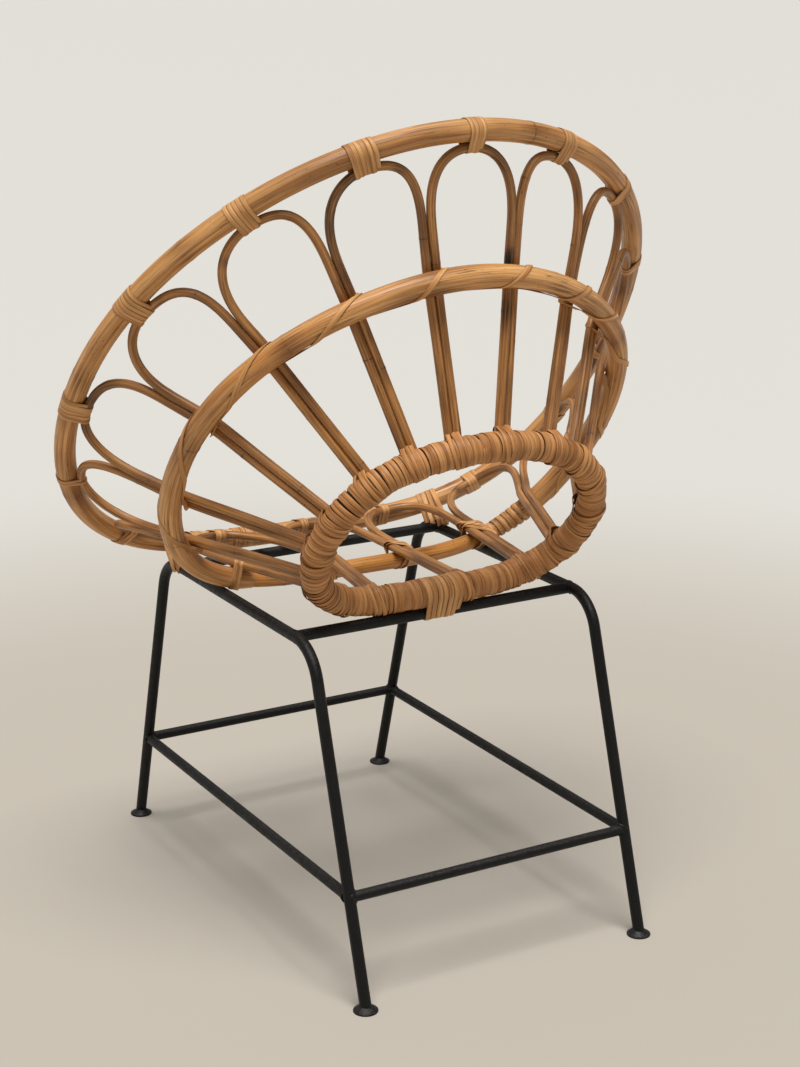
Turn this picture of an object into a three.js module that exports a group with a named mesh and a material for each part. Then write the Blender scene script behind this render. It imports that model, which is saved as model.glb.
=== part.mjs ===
// Petal armchair: a rattan shell of looped canes on a black iron rod stand.
// Millimetres. +Z is up, the sitter faces -Y, and X = 0 is the plane of symmetry of the poles.
// The origin is on the floor in the middle of the four feet.

import * as THREE from "three";

// Clearances
const gap = 0.3;
const looseGap = 0.6;
// Between the two cut faces of the arch and the bow in their scarf joint
const scarfGap = 0.8;
// Between the ring, at its lowest in the middle of the rail, and the rail
const ringSeatGap = 0.9;
// Inside the ties that cross bent canes
const tieGap = 1;

// Iron stand
const rodDiameter = 12;
const stretcherDiameter = 11;
const railHeight = 345;
const sideSpacing = 328;
const footReach = 280;
const bendReach = 176;
const bendRadius = 45;
const crossRailReach = 139;
const stretcherHeight = 108;
const footDiameter = 25;
const footTopDiameter = 17;
const footThickness = 4.5;
const footRimHeight = 1.8;

// Rattan poles and canes
const rimDiameter = 22;
const archDiameter = 23;
const bowDiameter = 17.5;
const ringDiameter = 30;
const petalDiameter = 9.2;

// Height of the rim's underside over the bends of the iron rods that it is tied down to
const rimStandOff = 9.5;

// Binding canes: strip width, thickness and the gap between turns
const stripWidth = 4;
const stripThickness = 1;
const turnGap = 0.7;
const ringStripThickness = 1.4;
const ringTurnGap = 2;

// Closed poles: x grows with sines, y and z with cosines of one turn round the pole.
// Each list holds the swing of the first, second, third and fourth harmonic.
const rimSide = [321, 0, 2, 4.5];
const rimDepth = [194, 20, -7, 4];
const rimRise = [249, 10, -9, 7];
const rimFront = -174;
const archSide = [249, 1.5, -3, 2];
const archDepth = [123, 17, -12, 6];
const archRise = [184, 9, -12, 6];
const archFront = -13;
const ringSide = [151, -0.5, -6, 0.5];
const ringDepth = [51, 2, -7, 4];
const ringRise = [93, 5.5, -9, 1.5];

// Places round the poles, as shares of the half turn from the back centre to the front centre
const tipShares = [0, 0.107, 0.228, 0.374, 0.514, 0.618, 0.757, 0.889, 1];
const archPairLeftShares = [0.05, 0.161, 0.29, 0.423, 0.563, 0.667, 0.787, 0.943];
const archPairRightShares = [0.071, 0.194, 0.29, 0.417, 0.555, 0.67, 0.787, 0.943];
const ringPairLeftShares = [0.07, 0.177, 0.291, 0.415, 0.5, 0.609, 0.729, 0.833];
const ringPairRightShares = [0.061, 0.21, 0.309, 0.397, 0.5, 0.621, 0.729, 0.929];

// How far up from the arch to the rim the two canes of a pair stay side by side
const partingShares = [0.36, 0.33, 0.3, 0.3, 0.34, 0.3, 0.2, 0.2];
// Fullness of the petals' shoulders towards the back centre and towards the front, and of the
// two middle petals: 1 is an ellipse, less is squarer
const backShoulderShare = 0.66;
const frontShoulderShare = 0.88;
const middleShoulderShare = 0.8;
// How far the petals' tips lean towards the seat side of the rim: the sine of the lean
const tipLeanShares = [0, 0, 0, 0, 0, 0.1, 0.3, 0.5, 0.5];
// How far the canes' ends stand on the seat side of the ring, as a share of its radius
const ringSeatShare = 0.5;

// The arch ends here on the left, and on the right in a scarf joint on the seat bow's end
const archLeftEndShare = 0.815;
const archRightEndShare = 0.765;
const bowRightEndShare = 0.69;
// Height of the scarf's slanted cut at its two ends, as a share of the poles' radius there
const scarfReachShare = 0.6;
const scarfTurns = 7;
// Girth of the arch's blunt heel, and the stretch in which it thins, as shares
const heelGirthShare = 0.8;
const heelTaperShare = 0.05;

// Ties of the rim to the stand's front corners, and where on the rim to look for the corners
const cornerTieWidth = 8;
const cornerFromShare = 0.6;

// Turns of cane that bind each petal tip to the rim, from the back centre to the front
const tipTurnsLeft = [3, 5, 4, 5, 5, 1, 2, 3, 2];
const tipTurnsRight = [3, 3, 2, 2, 2, 2, 3, 2, 2];
// Fine canes over the rim's scarf joint, either side of the seventh tip
const scarfFrontShare = 0.936;
const scarfFrontTurns = 11;
const scarfSideShare = 0.866;
const scarfSideTurns = 4;
// Cane covering of the ring, in two lengths
const ringWindingTurns = 20;
const ringWindingSpanShare = 0.99;
// Tie of the ring to the rear rail
const railTieTurns = 6;

// Round counts
const poleSides = 8;
const petalSides = 6;
const rodSides = 10;
const rimSteps = 90;
const archSteps = 68;
const bowSteps = 28;
const scarfSteps = 4;
const ringSteps = 40;
const bendSteps = 6;
const petalArcSteps = 6;
const wrapArc = Math.PI / 4;
const samples = 400;
const settleRounds = 40;

const UP = new THREE.Vector3(0, 0, 1);
const rodRadius = rodDiameter / 2;
const stretcherRadius = stretcherDiameter / 2;
const rimRadius = rimDiameter / 2;
const archRadius = archDiameter / 2;
const bowRadius = bowDiameter / 2;
const ringRadius = ringDiameter / 2;
const petalRadius = petalDiameter / 2;
const sideX = sideSpacing / 2;
const pitch = stripWidth + turnGap;

const chair = new THREE.Group();

const finishes = {
  iron: { color: 0x1f2021, roughness: 0.55, metalness: 0.4 },
  pole: { color: 0xc08a4c, roughness: 0.5, metalness: 0 },
  petal: { color: 0xa8683a, roughness: 0.5, metalness: 0 },
  binding: { color: 0xb17f4e, roughness: 0.6, metalness: 0 },
};

function addPiece(name, geometry, finish) {
  const mesh = new THREE.Mesh(geometry, new THREE.MeshStandardMaterial(finishes[finish]));
  mesh.name = name;
  chair.add(mesh);
}

// Part of v square to the unit vector t, as a unit vector
function square(v, t) {
  return v.clone().addScaledVector(t, -v.dot(t)).normalize();
}

function smoothstep(value) {
  const s = THREE.MathUtils.clamp(value, 0, 1);
  return s * s * (3 - 2 * s);
}

// Closed mesh from rings of points: ring after ring is joined by quads, with flat ends or closed
function skin(rings, closed) {
  const count = rings[0].length;
  const positions = [];
  for (const ring of rings) for (const p of ring) positions.push(p.x, p.y, p.z);
  const index = [];
  const last = closed ? rings.length : rings.length - 1;
  for (let i = 0; i < last; i += 1) {
    const a = i * count;
    const b = ((i + 1) % rings.length) * count;
    for (let j = 0; j < count; j += 1) {
      const k = (j + 1) % count;
      index.push(a + j, a + k, b + k, a + j, b + k, b + j);
    }
  }
  if (!closed) {
    const end = (rings.length - 1) * count;
    for (let j = 1; j + 1 < count; j += 1) {
      index.push(0, j + 1, j, end, end + j, end + j + 1);
    }
  }
  const geometry = new THREE.BufferGeometry();
  geometry.setAttribute("position", new THREE.Float32BufferAttribute(positions, 3));
  geometry.setIndex(index);
  return geometry;
}

function tangents(points, closed) {
  const n = points.length;
  return points.map((p, i) => {
    const before = closed ? points[(i - 1 + n) % n] : points[Math.max(i - 1, 0)];
    const after = closed ? points[(i + 1) % n] : points[Math.min(i + 1, n - 1)];
    const back = p.clone().sub(before);
    const on = after.clone().sub(p);
    if (back.lengthSq() === 0) return on.normalize();
    if (on.lengthSq() === 0) return back.normalize();
    return back.normalize().add(on.normalize()).normalize();
  });
}

// Half angle that the corners of a whole round section span
const wholeArc = (sides) => (Math.PI * (sides - 1)) / sides;

// Round bar along points. radius is a number, or a list with one for each point.
// startPlane and endPlane are normals of slanted or level end cuts. arcs lists the half angle of
// each section, where the bar has a flat face, about the direction facing, which is 0 for up.
function bar(points, radius, sides, { closed = false, startPlane, endPlane, arcs, facing = 0 } = {}) {
  const along = tangents(points, closed);
  const n = points.length;
  const ups = [square(Math.abs(along[0].z) < 0.9 ? UP : new THREE.Vector3(1, 0, 0), along[0])];
  for (let i = 1; i < n; i += 1) ups.push(square(arcs ? UP : ups[i - 1], along[i]));
  let twist = 0;
  if (closed) {
    const home = square(ups[n - 1], along[0]);
    const side = along[0].clone().cross(home);
    twist = Math.atan2(ups[0].dot(side), ups[0].dot(home));
  }
  const rings = points.map((p, i) => {
    const side = along[i].clone().cross(ups[i]);
    const r = Array.isArray(radius) ? radius[i] : radius;
    const arc = arcs ? arcs[i] : wholeArc(sides);
    const ring = [];
    for (let j = 0; j < sides; j += 1) {
      const a = facing + arc * ((2 * j) / (sides - 1) - 1) + (twist * i) / n;
      const spoke = ups[i].clone().multiplyScalar(r * Math.cos(a)).addScaledVector(side, r * Math.sin(a));
      const plane = i === 0 ? startPlane : i === n - 1 ? endPlane : undefined;
      if (plane) spoke.addScaledVector(along[i], -spoke.dot(plane) / along[i].dot(plane));
      ring.push(p.clone().add(spoke));
    }
    return ring;
  });
  return skin(rings, closed);
}

// Outline of a cane pulled round one or more discs { x, y, r }, as corners of a polygon whose
// edges touch the discs grown by the clearance. Two discs, or three, lie side by side.
function wrapOutline(discs, clearance) {
  const grown = discs.map((d) => ({ ...d, r: d.r + clearance }));
  if (grown.length === 1) {
    const corners = Math.round((2 * Math.PI) / wrapArc);
    const half = Math.PI / corners;
    return Array.from({ length: corners }, (unused, i) => {
      const a = 2 * half * i;
      return corner(grown[0], a, half);
    });
  }
  const order = hullOrder(grown);
  const outline = [];
  order.forEach((disc, i) => {
    const from = tangentAngle(order[(i - 1 + order.length) % order.length], disc);
    let to = tangentAngle(disc, order[(i + 1) % order.length]);
    while (to <= from) to += 2 * Math.PI;
    const pieces = Math.max(1, Math.ceil((to - from) / wrapArc));
    const half = (to - from) / pieces / 2;
    for (let k = 0; k < pieces; k += 1) outline.push(corner(disc, from + half * (2 * k + 1), half));
  });
  return outline;
}

function corner(disc, angle, half) {
  const r = disc.r / Math.cos(half);
  return new THREE.Vector2(disc.x + r * Math.cos(angle), disc.y + r * Math.sin(angle));
}

// Direction in which the outer tangent from disc a to disc b, going anticlockwise, touches both
function tangentAngle(a, b) {
  const dx = b.x - a.x;
  const dy = b.y - a.y;
  return Math.atan2(dy, dx) - Math.acos((a.r - b.r) / Math.hypot(dx, dy));
}

// The discs that a band pulled round them all touches, in anticlockwise order
function hullOrder(discs) {
  const order = [];
  for (let i = 0; i < samples; i += 1) {
    const a = (2 * Math.PI * i) / samples;
    const reaches = discs.map((d) => d.x * Math.cos(a) + d.y * Math.sin(a) + d.r);
    const disc = discs[reaches.indexOf(Math.max(...reaches))];
    if (disc !== order[order.length - 1]) order.push(disc);
  }
  if (order[0] === order[order.length - 1]) order.pop();
  return order;
}

// Cane wound round the discs while it travels along a path.
// frame(s) gives { origin, right, up } at the arc length s from the winding's middle.
function winding({ frame, discs, turns, pitch, turnSpace, thickness, clearance = gap }) {
  const inner = wrapOutline(discs, clearance);
  const outer = wrapOutline(discs, clearance + thickness);
  const steps = inner.length;
  const half = (pitch - turnSpace) / 2;
  const rings = [];
  for (let i = 0; i <= turns * steps; i += 1) {
    const s = pitch * (i / steps - turns / 2);
    const k = i % steps;
    rings.push(stripRing(frame(s - half), frame(s + half), inner[k], outer[k]));
  }
  reportTurnGap(rings, steps);
  return skin(rings, false);
}

// The four corners of a strip's section between two frames of its pole
function stripRing(before, after, inner, outer) {
  return [place(before, inner), place(after, inner), place(after, outer), place(before, outer)];
}

function place({ origin, right, up }, spot) {
  return origin.clone().addScaledVector(right, spot.x).addScaledVector(up, spot.y);
}

// Least gap between one turn and the next, measured on the strip's corners
let leastTurnGap = Infinity;
function reportTurnGap(rings, steps) {
  for (let i = 0; i + steps < rings.length; i += 1) {
    const next = rings[i + steps];
    leastTurnGap = Math.min(leastTurnGap, rings[i][1].distanceTo(next[0]), rings[i][2].distanceTo(next[3]));
  }
}

// Closed band of cane round poles that cross at the origin, each { point, way, radius }.
// right points across them all. The band lies diagonally, square to the sum of the first two ways.
function crossTie(origin, right, poles, width) {
  const lowerWay = square(poles[0].way, right);
  const across = lowerWay.clone().add(square(poles[1].way, right)).normalize();
  const stretch = 1 / Math.abs(across.dot(lowerWay));
  const up = across.clone().cross(right);
  const discs = poles.map(({ point, way, radius }) => {
    const lean = way.dot(across);
    const run = -point.clone().sub(origin).dot(across) / lean;
    const spot = point.clone().addScaledVector(way, run).sub(origin);
    const drift = ((width / 2) * Math.sqrt(1 - Math.min(1, lean ** 2))) / Math.abs(lean);
    const tall = (radius / Math.abs(lean) + drift) / stretch;
    return { x: spot.dot(right), y: spot.dot(up) / stretch, r: Math.max(radius, tall) };
  });
  up.multiplyScalar(stretch);
  const inner = wrapOutline(discs, tieGap);
  const outer = wrapOutline(discs, tieGap + stripThickness);
  const edge = (s) => ({ origin: origin.clone().addScaledVector(across, s), right, up });
  const rings = inner.map((spot, k) => stripRing(edge(-width / 2), edge(width / 2), spot, outer[k]));
  return skin(rings, true);
}

// Iron stand

// One side of the stand: a rod from foot to foot, bent at two rounded corners
function sideRodPoints(x) {
  const lean = Math.atan2(footReach - bendReach, railHeight);
  const turn = Math.PI / 2 - lean;
  const straight = bendRadius * Math.tan(turn / 2);
  const points = [];
  const footTop = footThickness + gap;
  const bendStart = bendReach - straight;
  const centreHeight = railHeight - bendRadius;
  points.push(new THREE.Vector3(x, -legReach(footTop), footTop));
  for (let i = 0; i <= bendSteps; i += 1) {
    const a = turn * (1 - i / bendSteps);
    const reach = bendStart + bendRadius * Math.sin(a);
    points.push(new THREE.Vector3(x, -reach, centreHeight + bendRadius * Math.cos(a)));
  }
  const rear = points.map((p) => new THREE.Vector3(p.x, -p.y, p.z)).reverse();
  return [...points, ...rear];
}

// Distance of a leg's centre line from the middle of the chair, along Y, at a height
function legReach(height) {
  return footReach - ((footReach - bendReach) * height) / railHeight;
}

const legDown = new THREE.Vector3(0, footReach - bendReach, -railHeight).normalize();
// Normal of a rear leg's surface where it faces the middle of the chair
const legFace = new THREE.Vector3(0, railHeight, footReach - bendReach).normalize();

function foot(x, y) {
  const profile = [
    new THREE.Vector2(0, 0),
    new THREE.Vector2(footDiameter / 2, 0),
    new THREE.Vector2(footDiameter / 2, footRimHeight),
    new THREE.Vector2(footTopDiameter / 2, footThickness),
    new THREE.Vector2(0, footThickness),
  ];
  const disc = new THREE.LatheGeometry(profile, 2 * rodSides);
  disc.rotateX(Math.PI / 2);
  disc.translate(x, y, 0);
  return disc;
}

const rods = {};
for (const [side, sign] of [["left", 1], ["right", -1]]) {
  const points = sideRodPoints(sign * sideX);
  rods[side] = points;
  addPiece(`side_rod_${side}`, bar(points, rodRadius, rodSides, { startPlane: UP, endPlane: UP }), "iron");
  addPiece(`foot_front_${side}`, foot(sign * sideX, -legReach(footThickness)), "iron");
  addPiece(`foot_rear_${side}`, foot(sign * sideX, legReach(footThickness)), "iron");
}

// A straight rod across the chair, at y and z, between the two side rods
function crossRod(name, y, z, radius) {
  const half = sideX - rodRadius - gap;
  const ends = [new THREE.Vector3(-half, y, z), new THREE.Vector3(half, y, z)];
  addPiece(name, bar(ends, radius, rodSides), "iron");
}
crossRod("cross_rail_front", -crossRailReach, railHeight, rodRadius);
crossRod("cross_rail_rear", crossRailReach, railHeight, rodRadius);
crossRod("stretcher_front", -legReach(stretcherHeight), stretcherHeight, stretcherRadius);
crossRod("stretcher_rear", legReach(stretcherHeight), stretcherHeight, stretcherRadius);

const sideStretcherHalf = legReach(stretcherHeight) - (rodRadius + gap) / Math.abs(legDown.z);
for (const [side, sign] of [["left", 1], ["right", -1]]) {
  const front = new THREE.Vector3(sign * sideX, -sideStretcherHalf, stretcherHeight);
  const rear = new THREE.Vector3(sign * sideX, sideStretcherHalf, stretcherHeight);
  const frontPlane = new THREE.Vector3(0, -legFace.y, legFace.z);
  const cut = { startPlane: frontPlane, endPlane: legFace };
  addPiece(`stretcher_${side}`, bar([front, rear], stretcherRadius, rodSides, cut), "iron");
}

// Closed poles of the shell

function closedPole(side, depth, rise, frontY, frontZ) {
  const swing = (list, a) => list.reduce((s, c, i) => {
    const n = i + 1;
    return s + c * (Math.cos(n * a) - Math.cos(n * Math.PI));
  }, 0);
  return (share) => {
    const a = Math.PI * share;
    const x = side.reduce((s, c, i) => s + c * Math.sin((i + 1) * a), 0);
    return new THREE.Vector3(x, frontY + swing(depth, a), frontZ + swing(rise, a));
  };
}

function spread(from, to, count) {
  return Array.from({ length: count + 1 }, (unused, i) => from + ((to - from) * i) / count);
}

function sample(curve, from, to, count) {
  return spread(from, to, count).map(curve);
}

function tangentAt(curve, share) {
  const step = 1 / samples;
  return curve(share + step).sub(curve(share - step)).normalize();
}

// Least distance between the points of one line and the stretches of another
function lineDistance(points, line) {
  let best = Infinity;
  const segment = new THREE.Line3();
  const nearest = new THREE.Vector3();
  for (const p of points) {
    for (let i = 0; i + 1 < line.length; i += 1) {
      segment.set(line[i], line[i + 1]);
      segment.closestPointToPoint(p, true, nearest);
      best = Math.min(best, nearest.distanceTo(p));
    }
  }
  return best;
}

// Lowers a curve from above until it is the clearance from the side rods.
// build(z) gives [points, radius] lists.
function restingHeight(build, startHeight, clearance) {
  let z = startHeight;
  for (let i = 0; i < settleRounds; i += 1) {
    const room = Math.min(...build(z).flatMap(([points, radius]) =>
      [rods.left, rods.right].map((rod) => lineDistance(points, rod) - radius - rodRadius - clearance)));
    if (room < gap / 100) break;
    z -= room;
  }
  return z;
}

const aboveRail = railHeight + rimDiameter + rodDiameter;
const rimAt = (z) => closedPole(rimSide, rimDepth, rimRise, rimFront, z);
const rimLine = (z) => [[sample(rimAt(z), -1, 1, samples), rimRadius]];
const rimHeight = restingHeight(rimLine, aboveRail + rimStandOff, rimStandOff);
const rim = rimAt(rimHeight);

// The arch's thick pole and the seat bow's thinner pole share one closed line, the hoop. The arch
// takes the shares from its tip on the right, where they are negative, over the back centre, 0, to
// its heel on the left. The bow goes on from there through the front, 1, so its share over 1 lies
// at share - 2.
const hoopAt = (z) => closedPole(archSide, archDepth, archRise, archFront, z);
const hoopHalfLength = halfLength(hoopAt(aboveRail));
const bowLeftEndShare = archLeftEndShare + gap / hoopHalfLength;

function halfLength(line) {
  const points = sample(line, 0, 1, samples);
  return points.reduce((s, p, i) => s + (i ? p.distanceTo(points[i - 1]) : 0), 0);
}

const hoopHeight = restingHeight((z) => [
  [sample(hoopAt(z), -archRightEndShare, archLeftEndShare, samples), archRadius],
  [sample(hoopAt(z), bowLeftEndShare, 2 - bowRightEndShare, samples), bowRadius],
], aboveRail, gap);
const hoop = hoopAt(hoopHeight);

const ringHeight = railHeight + rodRadius + ringSeatGap + ringRadius;
const ring = closedPole(ringSide, ringDepth, ringRise, crossRailReach, ringHeight);

const roundOnce = (curve, steps) => sample(curve, -1, 1 - 2 / steps, steps - 1);
addPiece("rim_pole", bar(roundOnce(rim, rimSteps), rimRadius, poleSides, { closed: true }), "pole");

// How far along the scarf joint a place of the hoop is, from 0 at the arch's tip to 1 at the bow's
// end, and the poles' common radius there
const scarfPart = (share) => (share + archRightEndShare) / (archRightEndShare - bowRightEndShare);
const scarfRadius = (part) => THREE.MathUtils.lerp(bowRadius, archRadius, THREE.MathUtils.clamp(part, 0, 1));

// Half angle of the section that the slanted cut leaves: above it, sign 1, or below it, sign -1
function scarfArc(part, sign) {
  if (part < 0 || part > 1) return wholeArc(poleSides);
  const height = scarfReachShare * (1 - 2 * part) + (sign * scarfGap) / (2 * scarfRadius(part));
  return Math.acos(sign * height);
}

// Places of the poles' rings: those of the scarf, then those from where the pole is whole again
const wholeShare = (2 * scarfGap) / hoopHalfLength;
const archShares = [
  ...spread(-archRightEndShare, -bowRightEndShare, scarfSteps),
  ...spread(-bowRightEndShare + wholeShare, archLeftEndShare, archSteps),
];
const bowShares = [
  ...spread(-bowRightEndShare, -archRightEndShare, scarfSteps),
  ...spread(-archRightEndShare - wholeShare, bowLeftEndShare - 2, bowSteps),
];
const heelGirth = (share) =>
  THREE.MathUtils.lerp(heelGirthShare, 1, smoothstep((archLeftEndShare - share) / heelTaperShare));
const heelPlane = tangentAt(hoop, archLeftEndShare);
addPiece("arch_pole", bar(
  archShares.map(hoop),
  archShares.map((share) => scarfRadius(scarfPart(share)) * heelGirth(share)),
  poleSides,
  { endPlane: heelPlane, arcs: archShares.map((share) => scarfArc(scarfPart(share), 1)) },
), "pole");
addPiece("seat_bow", bar(
  bowShares.map(hoop),
  bowShares.map((share) => scarfRadius(scarfPart(share))),
  poleSides,
  { endPlane: heelPlane, arcs: bowShares.map((share) => scarfArc(scarfPart(share), -1)), facing: Math.PI },
), "pole");

const ringCoreRadius = ringRadius * Math.cos(wrapArc / 2) - ringStripThickness - looseGap;
addPiece("ring_core", bar(roundOnce(ring, ringSteps), ringCoreRadius, poleSides, { closed: true }), "pole");

// Petals

// Middle of the rim's opening, which tells the seat side of a pole from its outside
const seatCentre = rim(0).lerp(rim(1), 0.5);

// Line followed by a pair of canes: ring end, place over the arch or bow, and aim at the rim
function pairLine(number, side) {
  const sign = side === "left" ? 1 : -1;
  const archShare = (side === "left" ? archPairLeftShares : archPairRightShares)[number];
  const onBow = archShare > (side === "left" ? archLeftEndShare : archRightEndShare);
  const support = hoop(sign * archShare);
  const supportRadius = onBow ? bowRadius : archRadius;
  const ringShare = (side === "left" ? ringPairLeftShares : ringPairRightShares)[number];
  const ringPoint = ring(sign * ringShare);
  const rimShare = (tipShares[number] + tipShares[number + 1]) / 2;
  const rimPoint = rim(sign * rimShare);
  const run = rimPoint.clone().sub(ringPoint).normalize();
  const poleWay = tangentAt(hoop, sign * archShare);
  const inward = poleWay.clone().cross(run).normalize();
  if (inward.dot(seatCentre.clone().sub(support)) < 0) inward.negate();
  const over = support.clone().addScaledVector(inward, supportRadius + petalRadius + looseGap);
  const beside = run.clone().cross(inward).normalize();
  const seatStep = ringRadius * ringSeatShare;
  const reach = Math.sqrt(ringRadius ** 2 - Math.max(0, seatStep - petalRadius) ** 2) + 2 * looseGap;
  const start = ringPoint.clone().addScaledVector(inward, seatStep);
  const way = over.clone().sub(start);
  const ringWay = tangentAt(ring, sign * ringShare);
  const out = square(way, ringWay);
  const end = start.addScaledVector(way.clone().normalize(), reach / way.clone().normalize().dot(out));
  const lean = (tipLeanShares[number] + tipLeanShares[number + 1]) / 2;
  const down = leaning(support.clone().sub(rimPoint), tangentAt(rim, sign * rimShare), inward, lean);
  const aim = rimPoint.clone().addScaledVector(down, rimRadius + petalRadius + gap);
  const before = over.clone().sub(end).normalize();
  const after = aim.clone().sub(over).normalize();
  const caneWay = before.clone().add(after).normalize();
  // How far the bent canes stray from a straight line within a strip's width
  const stray = stripWidth * Math.sin(before.angleTo(after) / 2);
  return { end, over, aim, beside, inward, support, supportRadius, poleWay, caneWay, stray };
}

// Direction across the rim towards the arch, leaning to the seat side
function leaning(towards, way, inward, lean) {
  const down = square(towards, way);
  const seatSide = square(square(inward, way), down);
  return down.multiplyScalar(Math.sqrt(1 - lean ** 2)).addScaledVector(seatSide, lean);
}

const pairs = { left: [], right: [] };
for (const side of ["left", "right"]) {
  for (let n = 0; n < archPairLeftShares.length; n += 1) pairs[side].push(pairLine(n, side));
}

// One petal: up beside one pair line, round the tip at the rim and down beside the other.
// shoulders holds the fullness on the side of the one and of the other.
function petalPoints(tipShare, lean, one, other, parting, shoulders) {
  const middle = one.over.clone().add(other.over).multiplyScalar(0.5);
  const tipRim = rim(tipShare);
  const inward = one.inward.clone().add(other.inward);
  const down = leaning(middle.clone().sub(tipRim), tangentAt(rim, tipShare), inward, lean);
  const tip = tipRim.clone().addScaledVector(down, rimRadius + petalRadius + gap);
  const leg = (pair, neighbour, shoulder) => {
    const towards = Math.sign(neighbour.over.clone().sub(pair.over).dot(pair.beside));
    const shift = pair.beside.clone().multiplyScalar(towards * (petalRadius + gap));
    const edge = (v) => pair.over.clone().lerp(pair.aim, v).add(shift);
    const points = [pair.end.clone().add(shift), pair.end.clone().lerp(pair.over, 0.5).add(shift)];
    points.push(edge(0), edge(parting / 2));
    for (let i = 0; i < petalArcSteps; i += 1) {
      const a = ((Math.PI / 2) * i) / petalArcSteps;
      const v = parting + (1 - parting) * Math.sin(a) ** shoulder;
      const centre = middle.clone().lerp(tip, v);
      points.push(centre.lerp(edge(v), Math.cos(a) ** shoulder));
    }
    return points;
  };
  return [...leg(one, other, shoulders[0]), tip, ...leg(other, one, shoulders[1]).reverse()];
}

const petals = [];
for (let n = 0; n < tipShares.length; n += 1) {
  const middle = n === 0 || n === tipShares.length - 1;
  const sides = middle ? ["middle"] : ["left", "right"];
  const shoulders = middle ? [middleShoulderShare, middleShoulderShare] : [backShoulderShare, frontShoulderShare];
  for (const side of sides) {
    const sign = side === "right" ? -1 : 1;
    let one = pairs[side]?.[n - 1];
    let other = pairs[side]?.[n];
    if (n === 0) [one, other] = [pairs.right[0], pairs.left[0]];
    if (n === tipShares.length - 1) [one, other] = [pairs.left[n - 1], pairs.right[n - 1]];
    const name = n === 0 ? "back" : n === tipShares.length - 1 ? "front" : `${side}_${n}`;
    const parting = partingShares[Math.min(n, partingShares.length - 1)];
    const tipShare = sign * tipShares[n];
    const points = petalPoints(tipShare, tipLeanShares[n], one, other, parting, shoulders);
    const turns = (side === "right" ? tipTurnsRight : tipTurnsLeft)[n];
    petals.push({ name, points, tipShare, turns });
    addPiece(`petal_${name}`, bar(points, petalRadius, petalSides), "petal");
  }
}

// Frame along a pole round the place share, with right in the direction that towards(share) gives
function poleFrame(curve, share, towards) {
  const unit = curve(share + 1 / samples).distanceTo(curve(share)) * samples;
  return (s) => {
    const at = share + s / unit;
    const way = tangentAt(curve, at);
    const right = square(towards(at), way);
    return { origin: curve(at), right, up: way.cross(right) };
  };
}

// Bindings of the petal tips: each goes round the rim and as much of the petal as it covers
for (const { name, points, tipShare, turns } of petals) {
  const tip = points[(points.length - 1) / 2];
  const centre = rim(tipShare);
  const towards = tip.clone().sub(centre);
  const frame = poleFrame(rim, tipShare, () => towards);
  const halfWidth = (turns * pitch + stripWidth) / 2;
  const curve = new THREE.CatmullRomCurve3(points, false, "centripetal");
  let reach = towards.length();
  let swerve = 0;
  for (let i = 0; i <= samples; i += 1) {
    const p = curve.getPoint(i / samples);
    const s = p.clone().sub(centre).dot(tangentAt(rim, tipShare));
    if (Math.abs(s) > halfWidth || p.distanceTo(tip) > 2 * halfWidth) continue;
    const near = frame(s);
    const away = p.sub(near.origin);
    reach = Math.max(reach, away.dot(near.right));
    swerve = Math.max(swerve, Math.abs(away.dot(near.up)));
  }
  const discs = [{ x: 0, y: 0, r: rimRadius }, { x: reach, y: 0, r: petalRadius + swerve + gap }];
  addPiece(`binding_${name}`, winding({
    frame,
    discs,
    turns,
    pitch,
    turnSpace: turnGap,
    thickness: stripThickness,
    clearance: looseGap,
  }), "binding");
}

// Fine cane over the rim's scarf joint
function rimWinding(name, share, turns) {
  addPiece(`rim_winding_${name}`, winding({
    frame: poleFrame(rim, share, () => UP),
    discs: [{ x: 0, y: 0, r: rimRadius }],
    turns,
    pitch,
    turnSpace: turnGap,
    thickness: stripThickness,
  }), "binding");
}
rimWinding("front", scarfFrontShare, scarfFrontTurns);
rimWinding("side", scarfSideShare, scarfSideTurns);

// Nearest places of a stretch of curve and a rod to each other
function contact(curve, from, to, rod) {
  let best = { distance: Infinity };
  const segment = new THREE.Line3();
  for (let i = 0; i <= samples; i += 1) {
    const share = from + ((to - from) * i) / samples;
    const p = curve(share);
    for (let k = 0; k + 1 < rod.length; k += 1) {
      segment.set(rod[k], rod[k + 1]);
      const rodPoint = segment.closestPointToPoint(p, true, new THREE.Vector3());
      const distance = rodPoint.distanceTo(p);
      const rodWay = rod[k + 1].clone().sub(rod[k]).normalize();
      if (distance < best.distance) best = { distance, share, point: p, rodPoint, rodWay };
    }
  }
  return best;
}

// Ties of the seat's pairs of canes to the arch and the bow, round the iron rod too where one is near
for (const side of ["left", "right"]) {
  for (const [name, pair] of [["outer", pairs[side].at(-2)], ["inner", pairs[side].at(-1)]]) {
    const { support, supportRadius, poleWay, over, caneWay, beside, stray } = pair;
    const apart = beside.clone().multiplyScalar(petalRadius + gap);
    const poles = [
      { point: support, way: poleWay, radius: supportRadius },
      { point: over.clone().add(apart), way: caneWay, radius: petalRadius + stray + gap },
      { point: over.clone().sub(apart), way: caneWay, radius: petalRadius + stray + gap },
    ];
    const near = contact(() => support, 0, 0, rods[side]);
    if (near.distance < supportRadius + rodRadius + 2 * stripWidth) {
      poles.push({ point: near.rodPoint, way: near.rodWay, radius: rodRadius });
    }
    const tie = crossTie(support, over.clone().sub(support).normalize(), poles, stripWidth);
    addPiece(`seat_tie_${side}_${name}`, tie, "binding");
  }
}

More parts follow.
